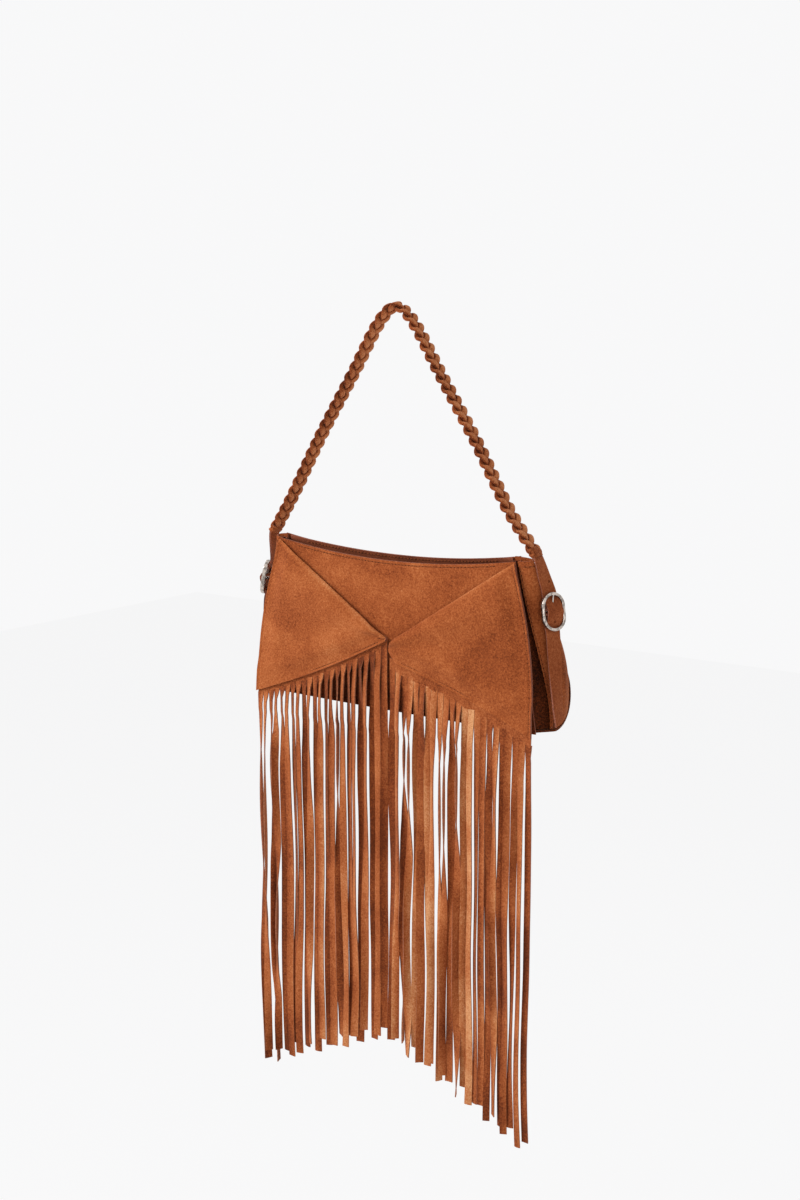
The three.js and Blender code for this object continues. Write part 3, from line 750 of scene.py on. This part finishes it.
# Seams of the body: a row of stitches along each edge of the mouth, one round the back panel's sides
# and foot, and two on each gusset, down its folded edge and along its top.
front_row, back_row, foot_row = [], [], []
back_sides = {-1: [], 1: []}
for i in range(ROW_POINTS + 1):
    across = mix(-0.85, 0.85, i / ROW_POINTS)
    x = across * MOUTH_HALF_WIDTH
    z = -dip(across) - STITCH_IN
    front_row.append(Vector((x, front_y(x, z), z)) + lift)
    back_row.append(back_facing_at(0.5 + across / 2, 1 - (STITCH_IN + 1) / FACING_HEIGHT) + lift)
    foot_row.append(back_at(0.5 - 0.49 * across / 0.85, 0.025) - lift)
    for sign in back_sides:
        back_sides[sign].append(back_at(0.5 + sign * 0.49, mix(0.02, 0.985, i / ROW_POINTS)) - lift)
behind = -front
sewn("stitches_mouth", [(front_row, front), (back_row, front)])
sewn("stitches_back", [(foot_row, behind), (back_sides[-1], behind), (back_sides[1], behind)])
for side, sign in SIDES:
    at = gusset_leather(RIDGE_MOUTHS[sign])
    downs = [i / ROW_POINTS for i in range(2, 58)]
    seam = [at(edge_place(down) + 0.025, 1 - down) + Vector((0.1, -0.15, 0)) for down in downs]
    top = [at(i / 40, 0.968) + Vector((0.2, -0.1, 0)) for i in range(5, 34)]
    out = Vector((sign * 0.6, -0.8, 0))
    sewn("stitches_gusset_" + side, [(flipped(seam, sign), out), (flipped(top, sign), out)])

# Fringe: one comb of suede a side, sewn up behind the wing's lower seam. Below an uncut band the
# sheet is slit into long narrow strips that hang, turn and curl a little.
STRIP_COUNT = 23
STRIP_WIDTHS = {-1: 8.2, 1: 8.1}
CENTRE_FOOT = 493
CORNER_FOOT = 565
BANDS = {-1: 4.5, 1: 10}
STRIP_JITTER = 7
BAND_WALL = FRINGE - 0.3
STRIP_WALL = FRINGE - 0.4
SWAY = 3.5
MOST_SWAY = 6
LOFT_TURNED = 3.6
TIP_LOFT = 1.4

fringe_edge = cut_edge("fringe_edge", (0.34, 0.115, 0.050))
fringe_suede = suede(
    "fringe_suede",
    (
        (0.30, (0.075, 0.016, 0.005)),
        (0.42, (0.17, 0.036, 0.010)),
        (0.50, (0.315, 0.076, 0.021)),
        (0.60, (0.46, 0.142, 0.046)),
        (0.76, (0.70, 0.36, 0.17)),
    ),
)


def comb_y(x, z, tip_drop, band):
    """Where the fringe lies: behind the wing, then hanging clear of the bag's front."""
    seam = seam_z(x, tip_drop)
    hung = wing_back(x, max(z, seam), tip_drop) + GAP
    if z >= seam:
        return hung
    clear = min(front_y(x, seam - band), front_y(x, z)) - FRINGE - GAP
    return min(wing_back(x, seam, tip_drop) + GAP, clear)


def join_all(name, pieces):
    bpy.ops.object.select_all(action="DESELECT")
    for piece in pieces:
        piece.select_set(True)
    bpy.context.view_layer.objects.active = pieces[0]
    bpy.ops.object.join()
    whole = bpy.context.object
    whole.name = name
    whole.data.name = name
    return whole


for side, sign in SIDES:
    tip_drop = RIGHT_TIP_DROP if sign > 0 else LEFT_TIP_DROP
    band = BANDS[sign]
    first = WING_SPLIT + GAP
    pitch = (WING_CORNER_X - first) / STRIP_COUNT
    blunt = tip_drop / 3
    chance = random.Random(11 + sign)

    def band_at(u, v):
        x = mix(first, WING_CORNER_X - 1, u)
        seam = seam_z(x, tip_drop)
        tucked = step(x, blunt, blunt + 12) if tip_drop > LAP else 1
        top = min(seam + mix(2, BAND_ABOVE, tucked), fold_z(x) - 1)
        z = mix(seam - band, top, v)
        hang = clamp((seam - z) / band)
        ripple = 0.5 * hang * math.sin(2 * math.pi * (x - first) / pitch / 2.6)
        return Vector((x, comb_y(x, z, tip_drop, band) - 0.2 + ripple, z))

    shape = band_at if sign > 0 else mirrored(band_at)
    fringe_finishes = (fringe_suede, fringe_edge)
    comb = [leather_sheet("band", 92, 10, shape, BAND_WALL, fringe_finishes, lambda u, v: -0.01)]
    for i in range(STRIP_COUNT):
        middle = first + pitch * (i + 0.5)
        seam = seam_z(middle, tip_drop)
        top = seam - band + 1.5
        jitter = STRIP_JITTER * math.sin(2.4 * i + (1 if tip_drop > LAP else 4))
        foot = -mix(CENTRE_FOOT, CORNER_FOOT, middle / WING_CORNER_X) - jitter
        y0 = comb_y(middle, seam - band, tip_drop, band) - 0.2
        turn = chance.choice((-1, 1)) * math.radians(chance.choice((8, 16, 26, 40, 70)))
        turns = chance.uniform(0.4, 1.3)
        phase = chance.uniform(0, 6.28)
        drift = chance.uniform(-2.4, 2.4)
        curl = chance.uniform(-0.4, 0.9)
        if sign > 0:
            lean = chance.uniform(-0.5, 0.35)
        else:
            lean = chance.uniform(0.3, 0.7) * step(middle, 8, 30)
        breadth = chance.uniform(0.93, 1.05) * (1 - 0.17 * step(i, 12, 16) if sign > 0 else 1)
        layer = (-2.2 if i % 2 else 0.2) + chance.uniform(-0.5, 0.3)

        def strip_at(u, v):
            hang = 1 - v
            z = mix(foot, top, v)
            below = top - z
            angle = turn * math.sin(math.pi * turns * hang + phase * hang) * step(hang, 0, 0.2)
            angle += lean * step(below, 0, 12) * (1 - step(below, 25, 90))
            across = (u - 0.5) * mix(pitch - 0.4, STRIP_WIDTHS[sign] * breadth, step(below, 20, 90))
            bow = curl * (1 - (2 * u - 1) ** 2)
            sway = drift * math.sin(2.1 * hang) * hang
            sway += SWAY * rough(middle, sign * 40, 0.35 * z, 45, 4) * step(hang, 0, 0.6)
            x = middle + across * math.cos(angle) + clamp(sway, -MOST_SWAY, MOST_SWAY)
            free = step(below, 3, 40)
            y = y0 + layer * free + across * math.sin(angle)
            y -= LOFT_TURNED * abs(math.sin(angle)) * (1 if z > -BODY_HEIGHT - 20 else 0.5)
            return Vector((x, y - bow * free + TIP_LOFT * rough(i * 9, 0, z, 90, 6) * hang, z))

        shape = strip_at if sign > 0 else mirrored(strip_at)
        pale = 0.17 * step(i, 0, 5) * (1 - step(i, 12, 17)) if sign > 0 else 0
        own = chance.uniform(0.0, 0.09) * (1 if i % 2 else -0.7) - 0.015
        own += pale * chance.uniform(-0.1, 1.2)
        slant = chance.uniform(-0.14, 0.14)

        def strip_tone(u, v):
            return own + slant * (u - 0.5) + 0.07 * rough(i * 5, 0, v * 480, 70, 3)

        comb.append(leather_sheet("strip", 4, 72, shape, STRIP_WALL, fringe_finishes, strip_tone))
    fringe = join_all("suede_fringe_" + side, comb)
    belongs(fringe, "fringe_suede", "bag", "fringe_" + side)

# Strap: one piece of leather slit into three strands, plaited flat and bent over at the crown, where
# the bag hangs.
STRAP_RISE = 230.5
STRAP_Y = 8
PLAIT_HALF_WIDTH = 5.9
PLAIT_LIFT = 2.1
STRAND_WIDTH = 6.7
STRAND = 3.3
PLAIT_PERIOD = 33
STRAP_END = Vector((153.1, 11, 9))
STRAP_LEG = [
    Vector((9.95, STRAP_Y, 225.1)),
    Vector((22.05, STRAP_Y, 212.05)),
    Vector((50.06, STRAP_Y, 168.1)),
    Vector((91.55, STRAP_Y, 105.1)),
    Vector((127.99, STRAP_Y, 43.97)),
    STRAP_END,
]


def bent_through(points, t):
    """A point of the smooth curve through points, whose bends stay tight where they lie close."""
    place = (len(points) - 1) * t
    i = min(int(place), len(points) - 2)
    w = place - i
    p1, p2 = points[i], points[i + 1]
    p0 = points[i - 1] if i > 0 else 2 * p1 - p2
    p3 = points[i + 2] if i + 2 < len(points) else 2 * p2 - p1
    d0, d1, d2 = (math.sqrt((b - a).length) for a, b in ((p0, p1), (p1, p2), (p2, p3)))
    m1 = ((p1 - p0) / d0 - (p2 - p0) / (d0 + d1) + (p2 - p1) / d1) * d1
    m2 = ((p2 - p1) / d1 - (p3 - p1) / (d1 + d2) + (p3 - p2) / d2) * d1
    bend = 3 * (p2 - p1) - 2 * m1 - m2
    return p1 + m1 * w + bend * w * w + (2 * (p1 - p2) + m1 + m2) * w**3


class Run:
    """A smooth line through points, read by its length from 0 to 1."""

    def __init__(self, points, count=2400):
        self.dots = [bent_through(points, i / count) for i in range(count + 1)]
        self.lengths = [0.0]
        for a, b in zip(self.dots, self.dots[1:]):
            self.lengths.append(self.lengths[-1] + (b - a).length)

    def at(self, v):
        goal = clamp(v) * self.lengths[-1]
        low, high = 0, len(self.lengths) - 1
        while high - low > 1:
            middle = (low + high) // 2
            if self.lengths[middle] <= goal:
                low = middle
            else:
                high = middle
        span = self.lengths[high] - self.lengths[low]
        return self.dots[low].lerp(self.dots[high], (goal - self.lengths[low]) / span)

    def way(self, v):
        return (self.at(v + 1e-3) - self.at(v - 1e-3)).normalized()


left_leg = [Vector((-p.x, p.y, p.z)) for p in reversed(STRAP_LEG)]
strap_run = Run(left_leg + [Vector((0, STRAP_Y, STRAP_RISE))] + STRAP_LEG)
strap_length = strap_run.lengths[-1]
plaits = round(strap_length / PLAIT_PERIOD)


def tube(name, around, along, at, finish, tone=None):
    """A closed skin round a run: a flat grid rolled up, its long edges welded, its ends filled."""
    piece = laid_grid(name, around, along, at, tone)
    piece.data.materials.append(finish)
    bpy.ops.object.mode_set(mode="EDIT")
    bpy.ops.mesh.select_all(action="SELECT")
    bpy.ops.mesh.remove_doubles(threshold=0.00001)
    bpy.ops.mesh.fill_holes(sides=2 * around)
    bpy.ops.mesh.normals_make_consistent(inside=False)
    bpy.ops.object.mode_set(mode="OBJECT")
    bpy.ops.object.shade_smooth_by_angle(angle=math.radians(60))
    return piece


def strand_phase(v, k):
    """How far strand k has come in its way from side to side; each lies a third behind the last."""
    return 2 * math.pi * plaits * v + math.pi / 6 + 2 * math.pi * k / 3


def strand_middle(v, k):
    phase = strand_phase(v, k)
    lift = math.sin(2 * phase)
    out = Vector((0, 1, 0)).cross(strap_run.way(v)).normalized()
    point = strap_run.at(v) + out * (PLAIT_LIFT * lift / math.sqrt(0.3 + 0.7 * lift * lift))
    point.y += PLAIT_HALF_WIDTH * math.sin(phase)
    return point, out


def strand_skin(k):
    rings = {}

    def at(u, v):
        if v not in rings:
            middle, out = strand_middle(v, k)
            ahead, _ = strand_middle(min(v + 4e-4, 1), k)
            behind, _ = strand_middle(max(v - 4e-4, 0), k)
            way = (ahead - behind).normalized()
            across = way.cross(out).normalized()
            rings[v] = (middle, across, across.cross(way).normalized())
        middle, across, up = rings[v]
        angle = 2 * math.pi * u
        c, s = math.cos(angle), math.sin(angle)
        wide = math.copysign(abs(c) ** 0.75, c) * STRAND_WIDTH / 2
        high = math.copysign(abs(s) ** 0.8, s) * STRAND / 2
        return middle + across * wide + up * high

    return at


# Painted light and shade on the plait: each strand is lighter where it rides on top, darker where it
# passes under the others, and darker along its edges where the strands meet.
def strand_painted_light(k):
    def tone(u, v):
        lift = math.sin(2 * strand_phase(v, k))
        rim = abs(math.cos(2 * math.pi * u)) ** 6
        face = abs(math.sin(2 * math.pi * u))
        on_top = lift if math.sin(2 * math.pi * u) > 0 else -lift
        return 0.03 + 0.075 * on_top * face - 0.11 * rim

    return tone


plait_suede = suede(
    "plait_suede",
    (
        (0.36, (0.060, 0.012, 0.004)),
        (0.44, (0.20, 0.043, 0.012)),
        (0.52, (0.37, 0.098, 0.030)),
        (0.64, (0.60, 0.230, 0.095)),
    ),
)
strands = [
    tube("strand", 14, plaits * 30, strand_skin(k), plait_suede, strand_painted_light(k)) for k in range(3)
]
strap = join_all("plaited_leather_strap", strands)
belongs(strap, "plait_leather", "bag", "plaited_strap")

# Buckles: on each side an oval ring with a bar across its middle stands off the gusset, turned a
# little to the front. Its own frame has x out from the bag, y along the bar and z up.
BUCKLE_DROP = 45
BUCKLE_TURN = math.radians(24)
BUCKLE_LEAN = math.radians(10)
BUCKLE_STANDOFF = 9.3
WIRE = 3
FRAME_WIDTH = 25
FRAME_HEIGHT = 36
RIM_DEEP = 4.3
BAR = 2.8

fold = gusset_at(0.5, BUCKLE_DROP / BODY_HEIGHT)
bar_middle = Vector(
    (
        fold.x + BUCKLE_STANDOFF * math.cos(BUCKLE_TURN),
        fold.y - BUCKLE_STANDOFF * math.sin(BUCKLE_TURN),
        -BUCKLE_DROP,
    )
)
buckle_turned = Matrix.Rotation(-BUCKLE_TURN, 3, "Z") @ Matrix.Rotation(-BUCKLE_LEAN, 3, "Y")


def out_of_buckle(p):
    return buckle_turned @ Vector(p) + bar_middle


def polished(name, tone):
    """Nickel-plated casting: bright, with faint polishing lines and slightly uneven shine."""
    material, tree, shader, where = new_finish(name, 0.2)
    shader.inputs["Metallic"].default_value = 1
    smears = grain(tree, where, 320, 3)
    lines = grain(tree, where, 2400, 2, 0.5, 1.5)
    deep = tuple(0.42 * c for c in tone)
    colour = tinted(tree, smears.outputs["Fac"], ((0.41, deep), (0.56, tone)))
    tree.links.new(colour, shader.inputs["Base Color"])
    shine = tree.nodes.new("ShaderNodeMapRange")
    shine.inputs["To Min"].default_value = 0.12
    shine.inputs["To Max"].default_value = 0.3
    tree.links.new(smears.outputs["Fac"], shine.inputs["Value"])
    tree.links.new(shine.outputs["Result"], shader.inputs["Roughness"])
    raised(tree, lines.outputs["Fac"], shader, 0.00006, 0.4)
    return material


nickel = polished("polished_nickel", (0.62, 0.54, 0.48))
rim_radius = (FRAME_WIDTH - WIRE) / 2
straight = (FRAME_HEIGHT - FRAME_WIDTH) / 2


def into_place(piece, sign, turn=None):
    """Moves a mesh from the buckle's own frame to the bag, on the right or, mirrored, on the left."""
    for v in piece.data.vertices:
        p = out_of_buckle(turn(v.co) if turn else v.co)
        v.co = at_bag((sign * p.x, p.y, p.z))
    if sign < 0:
        piece.data.flip_normals()


def metal_piece(name, body, node):
    bpy.ops.object.select_all(action="DESELECT")
    piece = bpy.data.objects[name]
    piece.select_set(True)
    bpy.context.view_layer.objects.active = piece
    bpy.ops.object.mode_set(mode="EDIT")
    bpy.ops.mesh.select_all(action="SELECT")
    bpy.ops.mesh.normals_make_consistent(inside=False)
    bpy.ops.object.mode_set(mode="OBJECT")
    bpy.ops.object.shade_smooth_by_angle(angle=math.radians(40))
    piece.data.materials.clear()
    piece.data.materials.append(nickel)
    belongs(piece, "polished_metal", body, node)


for side, sign in SIDES:
    bpy.ops.object.select_all(action="DESELECT")
    bpy.ops.mesh.primitive_torus_add(
        major_radius=rim_radius, minor_radius=WIRE / 2, major_segments=72, minor_segments=16
    )
    rim = bpy.context.object
    for v in rim.data.vertices:
        x, y, z = v.co
        away = math.hypot(x, y) - rim_radius
        square = (abs(2 * away / WIRE) ** 4 + abs(2 * z / WIRE) ** 4) ** -0.25
        out = (rim_radius + away * square) / (rim_radius + away)
        y = y * out + (math.copysign(straight, y) if abs(y) > 1e-6 else 0)
        v.co = (z * square * RIM_DEEP / WIRE, x * out, y)
    bpy.ops.object.select_all(action="DESELECT")
    bpy.ops.mesh.primitive_cylinder_add(
        vertices=20, radius=BAR / 2, depth=2 * rim_radius - WIRE / 6, rotation=(math.pi / 2, 0, 0)
    )
    rod = bpy.context.object
    bpy.ops.object.transform_apply(location=True, rotation=True, scale=True)
    ring = join_all("buckle_ring_" + side, [rim, rod])
    into_place(ring, sign)
    metal_piece(ring.name, "buckle_" + side, "buckle_frame_" + side)

# Prongs: on each buckle a bent pin with an eye, of the same plated metal. The eye turns on the bar
# and the pin's tip lies on the ring.
PRONG = 2
PRONG_TAPER = 0.3
EYE_WIDTH = 3
EYE_WIRE = 0.5
EYE_INNER = BAR / 2 + GAP
CROSSING = straight + 6.2
RIM_HEIGHT = (FRAME_HEIGHT - WIRE) / 2
prong_run = Run(
    [
        Vector((0, 0, EYE_INNER + EYE_WIRE)),
        Vector((0.5, 0, CROSSING - 2.6)),
        Vector((WIRE / 2 + GAP + PRONG / 2, 0, RIM_HEIGHT + 0.6)),
    ],
    200,
)
for side, sign in SIDES:

    def prong_skin(u, v):
        middle = prong_run.at(v)
        way = prong_run.way(v)
        up = Vector((0, 1, 0)).cross(way).normalized()
        angle = 2 * math.pi * u
        rounded = math.sqrt(max(0.02, 1 - max(0, v - 0.93) ** 2 / 0.005))
        thin = PRONG / 2 * (1 - PRONG_TAPER * v) * rounded
        spot = middle + Vector((0, 1, 0)) * math.cos(angle) * thin + up * math.sin(angle) * thin
        p = out_of_buckle(spot)
        return Vector((sign * p.x, p.y, p.z))

    pin = tube("pin", 14, 26, prong_skin, nickel)
    bpy.ops.object.select_all(action="DESELECT")
    bpy.ops.mesh.primitive_torus_add(
        major_radius=EYE_INNER + EYE_WIRE,
        minor_radius=EYE_WIRE,
        major_segments=28,
        minor_segments=10,
        rotation=(math.pi / 2, 0, 0),
    )
    eye = bpy.context.object
    bpy.ops.object.transform_apply(location=True, rotation=True, scale=True)
    for v in eye.data.vertices:
        v.co.y *= EYE_WIDTH
    into_place(eye, sign)
    prong = join_all("buckle_prong_" + side, [pin, eye])
    metal_piece(prong.name, "prong_" + side + "_body", "prong_" + side)

# Strap ends: the uncut ends of the strap's leather. Each goes down inside its ring over the bar, the
# prong in one of its holes, and its tail hangs outside the gusset.
BILLET = 2
BILLET_WIDTH = 15
BILLET_FADE = 0.74
BILLET_SPREAD = 1.8
HOLE_PITCH = 18.5
HOLE_RADIUS = 1.3
HOLE_DEEP = 1.5
RIM_CLEAR = 1.1
SLOPE = 2.2
BAR_BEND = 0.9
CHAPE = 1.2
TAIL_TURN = math.radians(2)
TAIL_SLANT = 4
TAIL_TIPS = {-1: Vector((179, 21, -148)), 1: Vector((183, 8, -148))}
TAIL_TAPER = 14
WRAP_LENGTH = 10


def into_buckle(p):
    return buckle_turned.transposed() @ (Vector(p) - bar_middle)


front_of_bar = EYE_INNER + CHAPE + GAP + BILLET / 2
behind_rim = -(WIRE / 2 + RIM_CLEAR + BILLET / 2)
strap_foot = strap_run.at(1)
foot_way = (strap_run.at(1) - strap_run.at(0.9995)).normalized()
top = into_buckle(strap_foot + foot_way * 4 * GAP)
neck = into_buckle(strap_foot + foot_way * WRAP_LENGTH * 0.6)


def billet_way(tail):
    """The strap end's middle line, from the wrap behind the ring, over the bar, to the tail's tip."""
    points = [
        top,
        neck,
        Vector((mix(neck.x, behind_rim, 0.7), neck.y * 0.4, mix(neck.z, RIM_HEIGHT, 0.6))),
        Vector((behind_rim - 0.3, neck.y * 0.08, RIM_HEIGHT + 4)),
        Vector((behind_rim, 0, RIM_HEIGHT - 2)),
        Vector((behind_rim + SLOPE, 0, CROSSING)),
        Vector((front_of_bar - BAR_BEND, 0, EYE_INNER + CHAPE)),
        Vector((front_of_bar, 0, 0)),
        Vector((front_of_bar - BAR_BEND, 0, -EYE_INNER - CHAPE)),
        Vector((behind_rim + SLOPE, 0, -CROSSING)),
        Vector((behind_rim, 0, -RIM_HEIGHT + 2)),
        Vector((behind_rim, 0, -RIM_HEIGHT - 5)),
        Vector((mix(behind_rim, tail.x, 0.5), tail.y * 0.42, mix(-RIM_HEIGHT, tail.z, 0.55))),
        tail,
    ]
    return Run(points)


strap_suede = suede(
    "strap_suede",
    ((0.38, (0.135, 0.028, 0.008)), (0.49, (0.28, 0.065, 0.019)), (0.62, (0.44, 0.135, 0.050))),
)


def billet_leather(run, tip):
    """The strap end's outer face; u runs across it and v up from the tail's tip."""

    def at(u, v):
        middle = run.at(1 - v)
        way = run.way(1 - v)
        z = middle.z
        upper = BUCKLE_TURN * step(z, RIM_HEIGHT + 2, top.z)
        lower = (BUCKLE_TURN + TAIL_TURN) * step(-z, RIM_HEIGHT + 20, -tip.z)
        twist = upper + lower
        width = Vector((-math.sin(twist), math.cos(twist), 0))
        out = width.cross(way).normalized()
        if out.x < 0:
            out = -out
        taper = mix(1, BILLET_FADE, step(-z, -tip.z - TAIL_TAPER, -tip.z))
        breadth = BILLET_WIDTH * taper + BILLET_SPREAD * math.exp(-((z / RIM_HEIGHT) ** 4))
        edge = abs(2 * u - 1) ** 10
        spot = middle + width * (u - 0.5) * breadth + out * (BILLET / 2 - 0.3 * edge)
        spot.z += (u - 0.5) * TAIL_SLANT * (1 - step(v, 0, 0.05))
        return out_of_buckle(spot)

    return at


def cut_out(piece, cutter):
    cut = piece.modifiers.new("cut", "BOOLEAN")
    cut.operation = "DIFFERENCE"
    cut.solver = "EXACT"
    cut.object = cutter
    bpy.context.view_layer.objects.active = piece
    bpy.ops.object.modifier_apply(modifier="cut")
    bpy.data.objects.remove(cutter)


def punched(piece, sign, run, heights):
    """Punches round holes into the outer face of a strap end, at heights above the bar."""
    for z in heights:
        place = min((run.at(i / 600) for i in range(601)), key=lambda p: abs(p.z - z))
        bpy.ops.object.select_all(action="DESELECT")
        bpy.ops.mesh.primitive_cylinder_add(
            vertices=20,
            radius=HOLE_RADIUS,
            depth=2 * HOLE_DEEP,
            rotation=(0, math.pi / 2, 0),
        )
        punch = bpy.context.object
        bpy.ops.object.transform_apply(location=True, rotation=True, scale=True)
        for v in punch.data.vertices:
            v.co += Vector((place.x + BILLET / 2, 0, z))
        into_place(punch, sign)
        # The hole's walls take the near-black hole finish: painted shade.
        punch.data.materials.append(hole_painted_shade)
        cut_out(piece, punch)


for side, sign in SIDES:
    tip = into_buckle(TAIL_TIPS[sign])
    billet_run = billet_way(tip)
    shape = billet_leather(billet_run, tip)
    if sign < 0:
        shape = mirrored(shape)
    end = leather_sheet(
        "strap_end_suede_" + side, 12, 170, shape, BILLET - 0.1, (strap_suede, raw_edge)
    )
    punched(end, sign, billet_run, (1.5 * HOLE_PITCH, -0.5 * HOLE_PITCH, CROSSING - 2))
    belongs(end, "plait_leather", "bag", "strap_end_" + side)

# Wraps: a short band of the same leather drawn tight round the plait's end and the top of each
# strap end, so that it takes the strands' lumps.
WRAP_WALL = 1.2
WRAP_LUMPS = 0.16
WRAP_DRAWN_IN = 0.12
wide = PLAIT_HALF_WIDTH + 3.1
high = PLAIT_LIFT + 2.2
for side, sign in SIDES:
    across = (Vector((0, 1, 0)) - foot_way * foot_way.y).normalized()
    through = foot_way.cross(across)

    def wrap_face(u, v):
        angle = 2 * math.pi * u
        c, s = math.cos(angle), math.sin(angle)
        waist = 1 - WRAP_LUMPS * abs(math.sin(1.5 * math.pi * v + angle))
        waist -= WRAP_DRAWN_IN * step(v, 0.75, 1)
        spot = strap_foot + foot_way * WRAP_LENGTH * (v - 0.4)
        spot += across * math.copysign(abs(c) ** 0.7, c) * wide * waist
        spot += through * math.copysign(abs(s) ** 0.7, s) * high * waist
        return spot

    shape = wrap_face if sign > 0 else mirrored(wrap_face)
    wrap = leather_sheet(
        "strap_wrap_suede_" + side, 40, 8, shape, WRAP_WALL - 0.2, (plait_suede, raw_edge)
    )
    belongs(wrap, "plait_leather", "bag", "strap_wrap_" + side)

# Chapes: on each side a leather tab folded round the buckle's bar, with a window cut in its fold for
# the prong's eye. Its long leg is sewn flat to the gusset.
CHAPE_WIDTH = 12
CHAPE_LENGTH = 26
CHAPE_SLOT = 4.2
CHAPE_CLEAR = 1.8
tab_leg = BUCKLE_STANDOFF - CHAPE_CLEAR - CHAPE


def tab_face(u, v):
    """Outer face of the tab: back along the gusset, forward, round the bar and back under itself."""
    y = (u - 0.5) * CHAPE_WIDTH
    r = EYE_INNER + CHAPE
    runs = (CHAPE_LENGTH - 7, tab_leg, math.pi * r, tab_leg)
    s = v * sum(runs)
    if s < runs[0]:
        spot = (-tab_leg + CHAPE, y, -CHAPE_LENGTH + r + s)
    elif s < runs[0] + runs[1]:
        k = s - runs[0]
        spot = (-tab_leg + k, y, -r)
    elif s < sum(runs[:3]):
        a = (s - runs[0] - runs[1]) / r
        spot = (r * math.sin(a), y, -r * math.cos(a))
    else:
        spot = (-(s - sum(runs[:3])), y, r)
    return out_of_buckle(spot)


for side, sign in SIDES:
    shape = tab_face if sign > 0 else mirrored(tab_face)
    tab = leather_sheet("chape_suede_" + side, 6, 60, shape, CHAPE - 0.1, (strap_suede, raw_edge))
    bpy.ops.object.select_all(action="DESELECT")
    bpy.ops.mesh.primitive_cube_add(size=1)
    window = bpy.context.object
    for v in window.data.vertices:
        v.co = (v.co.x * 12 + 6 - EYE_INNER - 1 - 2 * GAP, v.co.y * CHAPE_SLOT, v.co.z * 12)
    into_place(window, sign)
    cut_out(tab, window)
    belongs(tab, "plait_leather", "bag", "chape_" + side)

# Snap: a magnetic snap inside the mouth, open. Its two plated discs, one with a stud and one with a
# socket, are fixed to the facings.
for node in ("snap_stud", "snap_socket"):
    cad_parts[node].data.materials.clear()
    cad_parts[node].data.materials.append(nickel)
